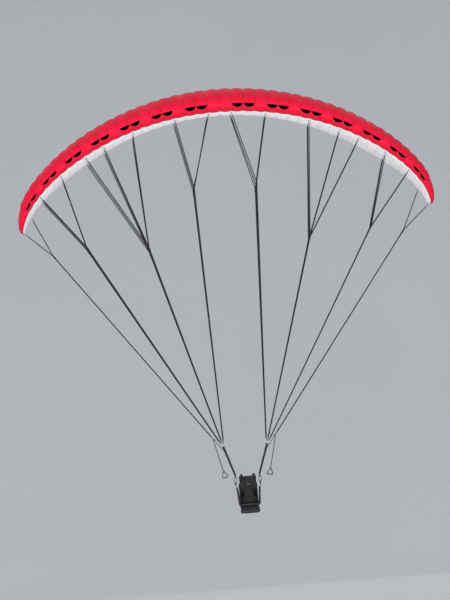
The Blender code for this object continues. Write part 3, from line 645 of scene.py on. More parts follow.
def canopy():
    """The red sail with its open cells and their bindings, and the white sail."""
    places = columns(COLUMNS)
    nose = int(UPPER_STEPS * sqrt(LIP))
    red_rows = [((k / UPPER_STEPS) ** 2, 1) for k in range(UPPER_STEPS, 0, -1)]
    red_rows += [(LIP * (k / nose) ** 2, -1) for k in range(nose + 1)]
    mesh = sail_mesh("upper_skin", red_rows, places)
    sail = surface(mesh)
    upper = dressed(linked("upper_skin", mesh), "wing", RED_CLOTH, ("upper_sail",))
    thickened(upper, CLOTH)
    cutter_work = bmesh.new()
    rim_work = bmesh.new()
    for section, wide in open_cells():
        ring = mouth_ring(section, wide)
        deep = section.back * (CUT_DEPTH * section.chord)
        front = [cutter_work.verts.new(point) for point in ring]
        rear = [cutter_work.verts.new(point + deep) for point in ring]
        cutter_work.faces.new(front[::-1])
        cutter_work.faces.new(rear)
        bridge(cutter_work, [front, rear])
        hits = [sail.ray_cast(point, section.back, 1.0) for point in ring]
        rim = [hit - normal * (CLOTH / 2) for hit, normal, _, _ in hits if hit is not None]
        sweep(rim_work, rim, disc(0.0042, 6), closed=True)
    cutter = linked("mouth_cutter", new_mesh("mouth_cutter", cutter_work))
    cut = upper.modifiers.new("mouths", 'BOOLEAN')
    cut.operation = 'DIFFERENCE'
    cut.object = cutter
    baked(upper)
    bpy.data.objects.remove(cutter, do_unlink=True)
    rims = piece("mouth_bindings", rim_work, "wing", RED_TAPE)

    start = LIP * 0.9
    white_rows = [(start + (1 - start) * (k / LOWER_STEPS) ** 1.25, -1) for k in range(LOWER_STEPS + 1)]
    mesh = sail_mesh("lower_skin", white_rows, places, {0: 0.004, 1: 0.0035})
    lower = dressed(linked("lower_skin", mesh), "wing", WHITE_CLOTH, ("lower_sail",))
    baked(thickened(lower, CLOTH))
    return upper, rims, lower


def cloth_layers(work):
    return [work.loops.layers.uv.new(title) for title in ("metres", "panel")]


def cloth_faces(work, layers, rows):
    """Faces over rows of points, with UVs for sailcloth."""
    metres, panel = layers
    for here, there in zip(rows, rows[1:]):
        for k in range(len(here) - 1):
            face = work.faces.new((here[k], there[k], there[k + 1], here[k + 1]))
            for loop in face.loops:
                loop[metres].uv = (loop.vert.co.y, loop.vert.co.z)
                loop[panel].uv = (0.5, 0.0)


def cell_ribs():
    """The cloth ribs inside, which show through the open cells."""
    shares = [0.004 + 0.966 * (k / 24) ** 2 for k in range(25)]
    work = bmesh.new()
    layers = cloth_layers(work)
    for _, hand in SIDES:
        for rib in range(0 if hand > 0 else 1, CELLS):
            section = Section(rib_place(rib), hand)
            rows = []
            for share in shares:
                high = section.skin(share, 1) - section.up * RIB_INSET
                low = section.skin(share, -1) + section.up * RIB_INSET
                rows.append([work.verts.new(low.lerp(high, k / 4)) for k in range(5)])
            cloth_faces(work, layers, rows)
    return piece("cell_ribs", work, "wing", RIB_CLOTH)


def profile_size(section):
    """Greatest height and area of a rib's flat cut."""
    heights = []
    for k in range(ROUND_STEPS + 1):
        share = k / ROUND_STEPS
        high = section_height(share, 1, section.chord, section.fullness)
        heights.append(high - section_height(share, -1, section.chord, section.fullness))
    return max(heights) * section.chord, sum(heights) / ROUND_STEPS * section.chord ** 2


def path_length(points):
    return sum((b - a).length for a, b in zip(points, points[1:]))


def declare_cloth(upper, lower):
    """Works out how large each sail part was cut: span by length round the section, area by its taper; the
    numbers are kept nowhere.
    """
    lengths = {upper: [], lower: []}
    for k in range(SPAN_STEPS + 1):
        section = Section(HALF_ARC * k / SPAN_STEPS, 1.0)
        over = [section.skin((1 - i / ROUND_STEPS) ** 2, 1) for i in range(ROUND_STEPS + 1)]
        under = [section.skin(LIP + (1 - LIP) * i / ROUND_STEPS, -1) for i in range(ROUND_STEPS + 1)]
        lip = [section.skin(LIP * i / 12, -1) for i in range(13)]
        lengths[upper].append(path_length(over + lip))
        lengths[lower].append(path_length(under))
    sizes = []
    for rib in range(CELLS):
        sizes += [profile_size(Section(rib_place(rib), 1.0))] * (2 if rib else 1)


def tip_panel(side, hand):
    """Cloth that closes a wing tip, slightly full."""
    section = Section(HALF_ARC, hand)
    shares = [0.003 + 0.987 * (k / 16) ** 1.6 for k in range(17)]
    work = bmesh.new()
    layers = cloth_layers(work)
    rows = []
    for share in shares:
        high = section.skin(share, 1)
        low = section.skin(share, -1)
        line = []
        for k in range(7):
            across = k / 6
            out = TIP_FULLNESS * across * (1 - across) * (high - low).length
            line.append(work.verts.new(low.lerp(high, across) + section.along * (out - 0.001)))
        rows.append(line)
    cloth_faces(work, layers, rows)
    made = piece(f"tip_panel_{side}", work, "wing", RED_CLOTH, (f"tip_rib_{side}",))
    return baked(thickened(made, 0.002))


def trailing_binding():
    """The tape that both sails are sewn into at the trailing edge."""
    path = [Section(s, hand).point(1.0, 0.0) for s, hand, _, _ in columns(2)]
    work = bmesh.new()
    sweep(work, path, band(0.014, 0.0085), across=Y_AXIS)
    return piece("trailing_binding", work, "wing", WHITE_TAPE)


# Places of lines, risers and harness, as in part.py

HANG_Y = 0.10
CASCADES = (
    ("inner", (1, 4), 0.643, 1.576, -0.028),
    ("middle", (8, 11, 13), 1.650, 2.760, 0.0),
    ("outer", (16, 19), 2.925, 2.625, 0.028),
)
LINE_ROWS = (("a", 0.10, -0.07), ("b", 0.36, 0.0), ("c", 0.64, 0.07))
BRAKE_RIBS = (21, 22)
BRAKE_KNOT = (3.64, 2.68)
BRAKE_CHORD = 0.97
MAIN_RADIUS = 0.012
UPPER_RADIUS = 0.0095
TAIL_RADIUS = 0.008
END_RADIUS = 0.005
TAPER_LENGTH = 0.08
SLEEVE_RADIUS = 0.016
SLEEVE_LENGTH = 0.09
TAB_LENGTH = 0.03
FIT = 0.0004
RISER_TOP = (0.456, 6.88)
PULLEY = (0.625, 6.75)
PULLEY_BEHIND = 0.13
PULLEY_RADIUS = 0.022
TAIL_OUTWARDS = 0.6
PULLEY_STRAP_DROP = 0.12
HAND = (0.48, 7.42)
HAND_AHEAD = 0.10
HANG = (0.25, 7.66)
CARABINER_HEIGHT = 0.10
CARABINER_WIDTH = 0.052
CARABINER_WIRE = 0.006
RISER_EYE_ROOM = 0.0022
RISER_EYE_WIDTH = 0.026
RISER_STEM_TOP = 0.055
RISER_STEM_OVER = 0.02
HANG_EYE_ROOM = 0.0012
HANG_EYE_WIDTH = 0.024
EYE_STEPS = 12
RISER_WIDTH = 0.040
WEBBING = 0.004
LINK_HALF_WIDTH = 0.042
LINK_HALF_HEIGHT = 0.035
LINK_WIRE = 0.004
HANDLE_HEIGHT = 0.13
HANDLE_HALF_WIDTH = 0.06
SEAT_TOP = -0.45
SEAT_SIZE = (0.3664, 0.40, 0.05)
SEAT_MIDDLE_Y = -0.03
BOTTOM = -0.64
BACK_LEAN = 12.0
BACK_FACE = 0.155
BACK_THICK = 0.055
HARNESS_BACK = -0.144
PANEL_X = 0.1835
PANEL_THICK = 0.028
PANEL_FOOT = SEAT_TOP - 0.04
PANEL_SPLAY = 5.0
SHOULDER_X = 0.125
SHOULDER_PATH = ((0.2725, 0.1168), (0.213, 0.158), (0.123, 0.155), (0.033, 0.09), (-0.017, -0.02),
                 (-0.007, -0.15), (0.073, -0.25), (0.1882, -0.2885))
CHEST = (-0.0177, -0.05)
BAR_PIVOT = (-0.2337, -0.485)
BAR_DROP = 0.12
BAR_HALF = 0.16
BAR_RADIUS = 0.010
CORD_X = 0.145
# Details of the same parts that part.py doesn't have
SLEEVE_TIES = (0.012, 0.018, 0.024, 0.066, 0.072, 0.078)
FOOT_TIES = (0.10, 0.106, 0.112)
TAB_TIES = (0.05, 0.056)
THREAD_RADIUS = 0.0011
TACK_STEPS = 8           # in the zigzag of a bar tack
LAYER = 0.0044           # between the layers of webbing sewn together in a riser's stem
GATE_RADIUS = 0.0078     # of the carabiner's screw sleeve
HANDLE_WIRE = 0.0078
GRIP_SWELL = 0.28        # how much thicker a brake handle is at its lowest, as a share
GRIP_RISE = 0.018        # how far up that goes
PIPING_STAND_OFF = 0.35  # of the piping's middle from its cover, in radii


def depth(value):
    return -value - LIP_BELOW_CROWN


RISER_TILT = Vector((RISER_TOP[0] - HANG[0], 0.0, HANG[1] - RISER_TOP[1])).normalized()
HARNESS = Vector((0.0, HANG_Y + HARNESS_BACK, depth(HANG[1])))


def link_centre(hand, behind):
    return Vector((hand * RISER_TOP[0], HANG_Y + behind, depth(RISER_TOP[1])))


def riser_axes(hand):
    """Directions up the risers and across them, outwards."""
    return Vector((hand * RISER_TILT.x, 0.0, RISER_TILT.z)), Vector((hand * RISER_TILT.z, 0.0, -RISER_TILT.x))


def pulley_centre(hand):
    return Vector((hand * PULLEY[0], HANG_Y + PULLEY_BEHIND, depth(PULLEY[1])))


def off_wheel(ahead, half_thickness):
    return ahead * ((PULLEY_RADIUS + FIT + half_thickness * abs(ahead.y)) / sqrt(1 - ahead.y ** 2))


def at(x, y, z):
    """A place in the harness: from the middle, behind and over the swing axis."""
    return HARNESS + Vector((x, y, z))


# Small shapes

def square_to(axis):
    """The axis as a unit vector, and two more that stand square to it."""
    axis = Vector(axis).normalized()
    one = axis.orthogonal().normalized()
    return axis, one, axis.cross(one)


def ring_at(work, centre, axis, radius, wire, steps=16, sides=6):
    """A round ring about an axis."""
    _, one, two = square_to(axis)
    path = [centre + (one * c + two * s) * radius for c, s in circle(steps)]
    sweep(work, path, disc(wire, sides), closed=True)


def ties(work, start, axis, places, radius, wire, steps=12, sides=5):
    """Rings of thread round a line, at distances from its start."""
    for place in places:
        ring_at(work, start + axis * place, axis, radius, wire, steps, sides)


def turned(work, centre, axis, profile, sides=20):
    """A lathed shape: profile gives (place along the axis, radius)."""
    axis, one, two = square_to(axis)
    rings = [[work.verts.new(centre + axis * place + (one * c + two * s) * radius) for c, s in circle(sides)]
             for place, radius in profile]
    bridge(work, rings)
    work.faces.new(rings[0][::-1])
    work.faces.new(rings[-1])


def block(work, centre, size, soft):
    """A block with rounded edges."""
    part = bmesh.new()
    bmesh.ops.create_cube(part, size=1.0)
    bmesh.ops.scale(part, vec=size, verts=part.verts)
    bmesh.ops.bevel(part, geom=part.edges[:], offset=soft, segments=3, profile=0.5, affect='EDGES')
    part.transform(Matrix.Translation(centre))
    mesh = bpy.data.meshes.new("block")
    part.to_mesh(mesh)
    part.free()
    work.from_mesh(mesh)
    bpy.data.meshes.remove(mesh)


def rounded_ring(half_width, half_height, corner, steps=7):
    """A closed ring with round corners, in its own plane."""
    points = []
    for turn, (x, z) in enumerate(((1, 1), (-1, 1), (-1, -1), (1, -1))):
        for k in range(steps):
            angle = pi / 2 * (turn + k / (steps - 1))
            points.append((x * (half_width - corner) + corner * cos(angle),
                           z * (half_height - corner) + corner * sin(angle)))
    return points


def tack(work, centre, across, along, out, width, length):
    """Bar tacks: a zigzag of thread through a strap, on the side that out points to."""
    path = []
    for k in range(TACK_STEPS + 1):
        aside = width / 2 * (1 if k % 2 else -1)
        path.append(centre + across * aside + along * (length * (k / TACK_STEPS - 0.5)) + out)
    sweep(work, path, disc(THREAD_RADIUS, 5))


def eye_off(inner):
    """How far an eye's middle lies off the carabiner's bar that it hangs on."""
    return inner * cos(pi / EYE_STEPS) - CARABINER_WIRE - FIT


def webbing_eye(work, middle, inner, width):
    """The eye of a strap round a carabiner's bar, which runs along X."""
    eye = [middle + Vector((0.0, c, s)) * (inner + WEBBING / 2) for c, s in circle(20)]
    sweep(work, eye, band(width, WEBBING), across=X_AXIS, closed=True)


# Lines

def tapered_line(work, start, end, radius, tip, neck):
    """A straight line, thin at its start and full after TAPER_LENGTH; returns its direction."""
    ahead = (end - start).normalized()
    path = [start, start + ahead * 0.03, start + ahead * TAPER_LENGTH, start.lerp(end, 0.5), end]
    sweep(work, path, disc(radius), scales=[tip / radius, neck / radius, 1.0, 1.0, 1.0])
    return ahead


def cascade(name, ribs, share, knot, foot, hand, stands_for):
    """A main line up to its splice and its upper lines on to the sail's tabs."""
    tabs = []
    for rib in ribs:
        section = Section(rib_place(rib), hand)
        tabs.append((section.skin(share, -1), -section.up))
    middle = sum((point for point, _ in tabs), Vector()) / len(tabs)
    height = depth(knot[1])
    along = (height - foot.z) / (middle.z - foot.z)
    joint = Vector((hand * knot[0], foot.y + (middle.y - foot.y) * along, height))
    work = bmesh.new()
    ahead = tapered_line(work, foot, joint, MAIN_RADIUS, END_RADIUS, 0.0065)
    end = joint - ahead * SLEEVE_LENGTH
    turned(work, end, ahead, [(0.0, 0.0105), (0.006, 0.0128), (0.02, SLEEVE_RADIUS), (0.07, SLEEVE_RADIUS),
                              (SLEEVE_LENGTH, 0.0132), (SLEEVE_LENGTH + 0.012, 0.009)], 14)
    ties(work, end, ahead, SLEEVE_TIES, SLEEVE_RADIUS, 0.0016, 14)
    ties(work, foot, ahead, FOOT_TIES, MAIN_RADIUS, 0.0014)
    for point, out in tabs:
        bend = point + out * TAB_LENGTH
        towards = tapered_line(work, bend, joint, UPPER_RADIUS, 0.004, 0.0055)
        ring_at(work, bend - towards * 0.004, out.cross(towards), 0.009, 0.0032, 14, 6)
        ties(work, bend, towards, TAB_TIES, 0.0068, 0.0014)
    piece(name, work, "wing", BRAID, (stands_for,))


def lines():
    for side, hand in SIDES:
        up, across = riser_axes(hand)
        for row, share, behind in LINE_ROWS:
            for group, ribs, knot_x, knot_depth, beside in CASCADES:
                bar = link_centre(hand, behind) + up * LINK_HALF_HEIGHT + across * beside
                ahead = (Vector((hand * knot_x, bar.y, depth(knot_depth))) - bar).normalized()
                foot = bar + ahead * (LINK_WIRE + END_RADIUS * abs(ahead.dot(across)) + FIT)
                cascade(f"cascade_{row}_{group}_{side}", ribs, share, (knot_x, knot_depth), foot, hand,
                        f"line_{row}_{group}_{side}")
        wheel = pulley_centre(hand)
        knot = Vector((hand * BRAKE_KNOT[0], wheel.y, depth(BRAKE_KNOT[1])))
        foot = wheel + off_wheel((knot - wheel).normalized(), END_RADIUS)
        cascade(f"brake_cascade_{side}", BRAKE_RIBS, BRAKE_CHORD, BRAKE_KNOT, foot, hand,
                f"brake_line_{side}")


def line_tabs():
    """Loops of tape sewn into the sail's seams, one for each upper line."""
    work = bmesh.new()
    places = [(rib, share) for _, share, _ in LINE_ROWS for _, ribs, *_ in CASCADES for rib in ribs]
    places += [(rib, BRAKE_CHORD) for rib in BRAKE_RIBS]
    for _, hand in SIDES:
        for rib, share in places:
            section = Section(rib_place(rib), hand)
            point = section.skin(share, -1)
            back = section.back * min(0.022, 0.06 * section.chord)
            root = section.up * 0.003
            bend = section.up * 0.016
            path = [point + back + root, point + back * 0.55 - bend, point - section.up * TAB_LENGTH,
                    point - back * 0.55 - bend, point - back + root]
            sweep(work, curve_through(path, 3), band(0.014, 0.0025), across=section.along)
    return piece("line_tabs", work, "wing", WHITE_TAPE)


# Rapid links, risers, carabiners and pulleys

def rapid_link(row, side, hand, behind):
    """An oval steel link with its screw sleeve and the thread that shows over it."""
    up, across = riser_axes(hand)
    centre = link_centre(hand, behind)
    work = bmesh.new()
    ring = [centre + across * x + up * z for x, z in rounded_ring(LINK_HALF_WIDTH, LINK_HALF_HEIGHT, 0.014)]
    sweep(work, ring, disc(LINK_WIRE), closed=True)
    nut = centre + across * LINK_HALF_WIDTH
    sleeve = [(0.0, 0.0066), (0.0015, 0.0078), (0.0205, 0.0078), (0.022, 0.0066)]
    turned(work, nut - up * 0.011, up, sleeve, 6)
    ties(work, nut, up, [0.0125 + 0.0016 * k for k in range(4)], LINK_WIRE, 0.0007, 14, 4)
    piece(f"maillon_{row}_{side}", work, "wing", STEEL, (f"rapid_link_{row}_{side}",))


def riser(side, hand):
    """Three straps of webbing, folded over the rapid links and sewn to one loop in the carabiner."""
    bar = Vector((hand * HANG[0], HANG_Y, depth(HANG[1]) + CARABINER_HEIGHT))
    inner = CARABINER_WIRE + RISER_EYE_ROOM
    eye_middle = bar + Z_AXIS * eye_off(inner)
    up, across = riser_axes(hand)
    stem_top = bar + Z_AXIS * RISER_STEM_TOP
    work = bmesh.new()
    webbing_eye(work, eye_middle, inner, RISER_EYE_WIDTH)
    base = eye_middle + Z_AXIS * (inner + WEBBING / 2)
    for layer in (-1.5, -0.5, 0.5, 1.5):
        off = Y_AXIS * (layer * LAYER)
        stem = [base + off * 0.5, base + off + Z_AXIS * 0.012, stem_top + off,
                stem_top + off + Z_AXIS * RISER_STEM_OVER]
        sweep(work, stem, band(0.028, 0.0042), across=X_AXIS)
    for height in (0.018, 0.034, 0.05):
        for face in (-1.0, 1.0):
            tack(work, bar + Z_AXIS * height, X_AXIS, Z_AXIS, Y_AXIS * (face * 0.0090), 0.022, 0.009)
    bend = LINK_WIRE + WEBBING / 2 + FIT
    for _, _, behind in LINE_ROWS:
        top = link_centre(hand, behind) - up * LINK_HALF_HEIGHT
        start = stem_top + Y_AXIS * (behind * 0.08)
        along = (top - start).normalized()
        out = across.cross(along).normalized()
        path = [start, start.lerp(top, 0.5), top - along * 0.16 + out * 0.0022,
                top - along * 0.07 + out * 0.0026, top - along * 0.022 + out * bend * 0.85]
        for angle in (0.0, 0.25 * pi, 0.5 * pi, 0.75 * pi, pi):
            path.append(top + out * (bend * cos(angle)) + along * (bend * sin(angle)))
        path += [top - along * 0.022 - out * bend * 0.85, top - along * 0.07 - out * 0.0026,
                 top - along * 0.13 - out * 0.0024]
        sweep(work, curve_through(path, 3), band(RISER_WIDTH, WEBBING), across=across)
        for face in (-1.0, 1.0):
            for drop in (0.062, 0.115):
                tack(work, top - along * drop, across, along, out * face * 0.0050, 0.032, 0.010)
    foot = top - along * (PULLEY_STRAP_DROP + LINK_WIRE)
    wheel = pulley_centre(hand)
    end = wheel + off_wheel((foot - wheel).normalized(), WEBBING / 2)
    strap_end = [foot, foot.lerp(end, 0.5), end]
    sweep(work, strap_end, band(0.012, WEBBING), across=across)
    piece(f"riser_webbing_{side}", work, "wing", WEBBING_CLOTH, (f"riser_{side}",))


def carabiner(side, hand):
    """A long link of round bar with a screw gate on its outer side, and the gate's two pins."""
    centre = Vector((hand * HANG[0], HANG_Y, depth(HANG[1]) + CARABINER_HEIGHT / 2))
    out = X_AXIS * hand
    work = bmesh.new()
    ring = [centre + out * x + Z_AXIS * z
            for x, z in rounded_ring(CARABINER_WIDTH / 2, CARABINER_HEIGHT / 2, 0.013)]
    sweep(work, ring, disc(CARABINER_WIRE, 14), closed=True)
    gate = centre + out * (CARABINER_WIDTH / 2)
    sleeve = [(0.0, 0.0062), (0.002, GATE_RADIUS), (0.024, GATE_RADIUS), (0.026, 0.0066), (0.050, 0.0062)]
    turned(work, gate - Z_AXIS * 0.026, Z_AXIS, sleeve, 18)
    for k in range(7):
        ring_at(work, gate - Z_AXIS * (0.023 - 0.003 * k), Z_AXIS, GATE_RADIUS, 0.0007, 18, 4)
    pin = [(0.0, 0.0018), (0.0005, 0.0024), (0.0151, 0.0024), (0.0156, 0.0018)]
    for height in (-0.031, 0.030):
        turned(work, gate + Z_AXIS * height - Y_AXIS * GATE_RADIUS, Y_AXIS, pin, 12)
    piece(f"carabiner_body_{side}", work, "wing", ALLOY, (f"carabiner_{side}",))


def pulley(side, hand):
    """A grooved wheel with a cap and an axle on each face."""
    centre = pulley_centre(hand)
    work = bmesh.new()
    wheel = [(0.0, 0.0205), (0.001, PULLEY_RADIUS), (0.003, PULLEY_RADIUS), (0.006, 0.0165)]
    wheel += [(0.016 - place, radius) for place, radius in wheel[::-1]]
    turned(work, centre - Y_AXIS * 0.008, Y_AXIS, wheel, 32)
    cap = [(0.0, 0.015), (0.0018, 0.0145), (0.0024, 0.013), (0.0025, 0.0055), (0.0045, 0.005),
           (0.005, 0.0035)]
    for face in (-1.0, 1.0):
        turned(work, centre + Y_AXIS * (face * 0.0085), Y_AXIS * face, cap, 28)
    piece(f"pulley_wheel_{side}", work, "wing", PLASTIC, (f"brake_pulley_{side}",))


# Brakes

def brake(side, hand):
    """The brake's tail, thinner where it leaves its pulley, and the handle on its end."""
    wheel = pulley_centre(hand)
    knot = Vector((hand * HAND[0], HANG_Y - HAND_AHEAD, depth(HAND[1])))
    up = (wheel - knot).normalized()
    leaving = (-up + X_AXIS * (hand * TAIL_OUTWARDS)).normalized()
    start = wheel + off_wheel(leaving, END_RADIUS)
    end = knot + up * 0.0065
    work = bmesh.new()
    path = [start, start - up * 0.03, start - up * TAPER_LENGTH]
    path += [path[-1].lerp(end, k / 8) for k in range(1, 9)]
    scales = [END_RADIUS / TAIL_RADIUS, 0.006 / TAIL_RADIUS] + [1.0] * 9
    sweep(work, path, disc(TAIL_RADIUS), scales=scales)
    tail = piece(f"brake_cord_{side}", work, "wing", BRAID, (f"brake_tail_{side}",))
    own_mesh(tail)

    across = (X_AXIS - up * X_AXIS.dot(up)).normalized()
    w = HANDLE_HALF_WIDTH
    h = HANDLE_HEIGHT
    half = [(0.014, -0.002), (0.036, -h / 2 + 0.006), (w, 0.022 - h), (w - 0.009, 0.004 - h), (w - 0.026, -h)]
    ring = [(0.0, 0.0)] + [(-x, z) for x, z in half] + [(0.0, -h - 0.001)] + half[::-1]
    path = curve_through([knot + across * x + up * z for x, z in ring], 4, closed=True)
    heights = [(point - knot).dot(up) for point in path]
    low = min(heights)
    scales = [1.0 + GRIP_SWELL * ease(1 - (height - low) / GRIP_RISE) for height in heights]
    work = bmesh.new()
    sweep(work, path, disc(HANDLE_WIRE), scales=scales, closed=True)
    for x in (-0.030, 0.030):
        ties(work, knot + up * -h, across, [x + 0.0025 * (k - 1) for k in range(3)], 0.0100, 0.0011, 14)
    body = f"{side}_brake"
    piece(f"brake_grip_{side}", work, body, WEBBING_CLOTH, (f"brake_handle_{side}",))
    work = bmesh.new()
    swivel = [(0.0, 0.005), (0.002, 0.0085), (0.010, 0.0095), (0.018, 0.0085), (0.020, 0.0062),
              (0.026, 0.0055)]
    turned(work, knot - up * 0.020, up, swivel, 16)
    piece(f"brake_swivel_{side}", work, body, PLASTIC)


# Harness

VOXEL = 0.009
PRESSURE = 4.0
SIM_STEPS = 20
# Seams: how deep they pull the cover in, and over what half width
QUILT_SEAM = (0.004, 0.007)
BACK_SEAM = (0.005, 0.008)
AIRBAG_SEAM = (0.006, 0.010)
AIRBAG_CROSS_SEAM = (0.005, 0.010)
SIDE_SEAM = (0.0035, 0.006)
BACK_MIDDLE = -0.1475    # height of the backrest's middle over the swing axis
# Soft pieces: CAD node, how much slimmer than its solid the sewn shape starts, and how far it may swell
PADS = (
    ("seat_pad", "seat", 0.003, 0.009),
    ("back_pad", "backrest", 0.007, 0.012),
    ("airbag_cover", "airbag_protector", 0.010, 0.016),
    ("side_pad_left", "side_panel_left", 0.0025, 0.006),
    ("side_pad_right", "side_panel_right", 0.0025, 0.006),
)


def set_points(mesh, points):
    mesh.vertices.foreach_set("co", np.asarray(points, dtype=np.float32).ravel())
    mesh.update()


def pads():
    """Sewn covers blown up by a cloth simulation inside the space of their CAD solids."""
    made = {}
    before = {}
    for name, node, slim, _ in PADS:
        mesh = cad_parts[node].data.copy()
        mesh.name = name
        cover = linked(name, mesh)
        weld = cover.modifiers.new("weld", 'WELD')
        weld.merge_threshold = 0.0001
        remesh = cover.modifiers.new("even", 'REMESH')
        remesh.mode = 'VOXEL'
        remesh.voxel_size = VOXEL
        baked(cover)
        set_points(cover.data, read(cover.data, "co") - read(cover.data, "normal") * slim)
        before[name] = read(cover.data, "co")
        cloth = cover.modifiers.new("cloth", 'CLOTH')
        cloth.settings.use_pressure = True
        cloth.settings.uniform_pressure_force = PRESSURE
        cloth.settings.effector_weights.gravity = 0.0
        cloth.point_cache.frame_end = SIM_STEPS
        made[name] = cover
    for step in range(1, SIM_STEPS + 1):
        bpy.context.scene.frame_set(step)
    for name, _, _, cap in PADS:
        cover = made[name]
        baked(cover)
        moved = read(cover.data, "co") - before[name]
        size = np.linalg.norm(moved, axis=1, keepdims=True)
        set_points(cover.data, before[name] + moved * np.minimum(1.0, cap / np.maximum(size, 1e-6)))
        finer = cover.modifiers.new("finer", 'SUBSURF')
        finer.levels = 1
        finer.render_levels = 1
        baked(cover)
    bpy.context.scene.frame_set(1)
    return made


def sewn(cover, seams):
    """Pulls a cover in along its seams: each is (a point, the direction across it, depth, half width)."""
    points = read(cover.data, "co")
    pull = np.zeros(len(points))
    for point, across, deep, half in seams:
        gap = (points - np.array(point)) @ np.array(Vector(across).normalized())
        pull = np.maximum(pull, deep * np.exp(-(gap / half) ** 2))
    set_points(cover.data, points - read(cover.data, "normal") * pull[:, None])


def piping(name, cover, ring, gap, radius):
    """A corded edge laid on a cover along a closed ring, with a point every gap."""
    cover_surface = surface(cover.data)
    path = []
    for a, b in zip(ring, ring[1:] + ring[:1]):
        steps = max(1, round((b - a).length / gap))
        for k in range(steps):
            spot, normal, _, _ = cover_surface.find_nearest(a.lerp(b, k / steps))
            path.append(spot + normal * radius * PIPING_STAND_OFF)
    work = bmesh.new()
    sweep(work, path, disc(radius, 8), closed=True)
    piece(name, work, "harness", PIPING_CLOTH)


def back_point(height, off=0.0):
    lean = radians(BACK_LEAN)
    return BACK_FACE + (height - SEAT_TOP) * tan(lean) + off / cos(lean)


def panel_outer(hand, height):
    rise = (height - PANEL_FOOT) * tan(radians(PANEL_SPLAY))
    return hand * (PANEL_X + PANEL_THICK / 2 + rise + PANEL_THICK / 2 / cos(radians(PANEL_SPLAY)))


def cushions():
    """The harness's covers, with their seams and piping."""
    covers = pads()
    for name, node, _, _ in PADS:
        cover = dressed(covers[name], "harness", HARNESS_CLOTH, (node,))
        cover.data.shade_smooth()
    seat_quilting(covers["seat_pad"])
    back_quilting(covers["back_pad"])
    airbag_seams(covers["airbag_cover"])
    for side, hand in SIDES:
        airbag_piping(side, hand, covers["airbag_cover"])
        side_seams(side, hand, covers[f"side_pad_{side}"])


def seat_quilting(cover):
    x, y, _ = SEAT_SIZE
    sewn(cover, [(at(0, SEAT_MIDDLE_Y + off, SEAT_TOP), Y_AXIS, *QUILT_SEAM) for off in (-0.10, 0.0, 0.10)])
    rim = [at(px, SEAT_MIDDLE_Y + py, SEAT_TOP - 0.006)
           for px, py in rounded_ring(x / 2 - 0.006, y / 2 - 0.006, 0.03)]
    piping("seat_piping", cover, rim, 0.012, 0.0032)


def back_quilting(cover):
    lean = radians(BACK_LEAN)
    rise = Vector((0.0, sin(lean), cos(lean)))
    seams = [(at(0, back_point(height), height), rise, *BACK_SEAM) for height in (-0.31, -0.18, -0.05, 0.07)]
    seams += [(at(px, 0, 0), X_AXIS, *QUILT_SEAM) for px in (-0.085, 0.085)]
    sewn(cover, seams)
    middle = at(0.0, back_point(BACK_MIDDLE), BACK_MIDDLE)
    rim = [middle + X_AXIS * px + rise * pz - Y_AXIS * 0.004 for px, pz in rounded_ring(0.186, 0.298, 0.03)]
    piping("back_piping", cover, rim, 0.012, 0.0034)


def airbag_seams(cover):
    seams = [(at(0, 0, BOTTOM + 0.075), Z_AXIS, *AIRBAG_SEAM)]
    seams += [(at(px, 0, 0), X_AXIS, *AIRBAG_SEAM) for px in (-0.12, 0.0, 0.12)]
    seams += [(at(0, 0, height), Z_AXIS, *AIRBAG_CROSS_SEAM) for height in (-0.40, -0.25, -0.12)]
    sewn(cover, seams)


def airbag_piping(side, hand, cover):
    under = SEAT_TOP - SEAT_SIZE[2]
    ring = [(SEAT_MIDDLE_Y - 0.18, under), (back_point(under, BACK_THICK + 0.01), under + 0.01),
            (back_point(0.0, BACK_THICK + 0.01), -0.005), (back_point(0.0, BACK_THICK + 0.075), -0.005),
            (back_point(-0.05, BACK_THICK + 0.105), -0.05), (back_point(-0.36, BACK_THICK + 0.125), -0.36),
            (0.265, -0.535), (0.187, -0.595), (0.08, BOTTOM + 0.004), (-0.08, BOTTOM + 0.004),
            (-0.168, -0.60), (-0.212, -0.55)]
    rim = curve_through([at(hand * 0.197, y, z) for y, z in ring], 3, closed=True)
    piping(f"airbag_piping_{side}", cover, rim, 0.014, 0.0036)


def side_seams(side, hand, cover):
    places = (((-0.04, -0.30), (0, 0.35, 1)), ((0.02, -0.40), (0, 0.35, 1)), ((0.06, 0), (0, 1, -0.25)))
    sewn(cover, [(at(0, y, z), across, *SIDE_SEAM) for (y, z), across in places])
    ring = [(-0.20, PANEL_FOOT + 0.01), (back_point(PANEL_FOOT) - 0.012, PANEL_FOOT + 0.01),
            (back_point(-0.10) - 0.012, -0.108), (0.165, -0.095), (0.025, -0.13), (-0.073, -0.228),
            (-0.19, -0.335), (-0.214, -0.40)]
    rim = [at(panel_outer(hand, z) - hand * 0.003, y, z) for y, z in ring]
    piping(f"side_piping_{side}", cover, rim, 0.014, 0.003)


def strap(name, path, width, thickness, across, stands_for=(), crown=0.0,
          material=WEBBING_CLOTH, buckle=None):
    """A strap; buckle, a ladder buckle on it, is (share of the path, direction out of the strap)."""
    work = bmesh.new()
    sweep(work, path, band(width, thickness, crown), across=across)
    piece(name, work, "harness", material, stands_for)
    if buckle:
        share, out = buckle
        index = int(share * (len(path) - 1))
        ahead = (path[index + 1] - path[index]).normalized()
        middle = path[index] + Vector(out).normalized() * (thickness / 2 + crown + 0.0034)
        work = bmesh.new()
        ring = [middle + across * a + ahead * b for a, b in rounded_ring(width / 2 + 0.004, 0.014, 0.004, 4)]
        sweep(work, ring, disc(0.0028, 8), closed=True)
        bar = across * (width / 2 + 0.003)
        sweep(work, [middle - bar, middle + bar], disc(0.0026, 8))
        piece(f"{name}_buckle_0", work, "harness", PLASTIC)


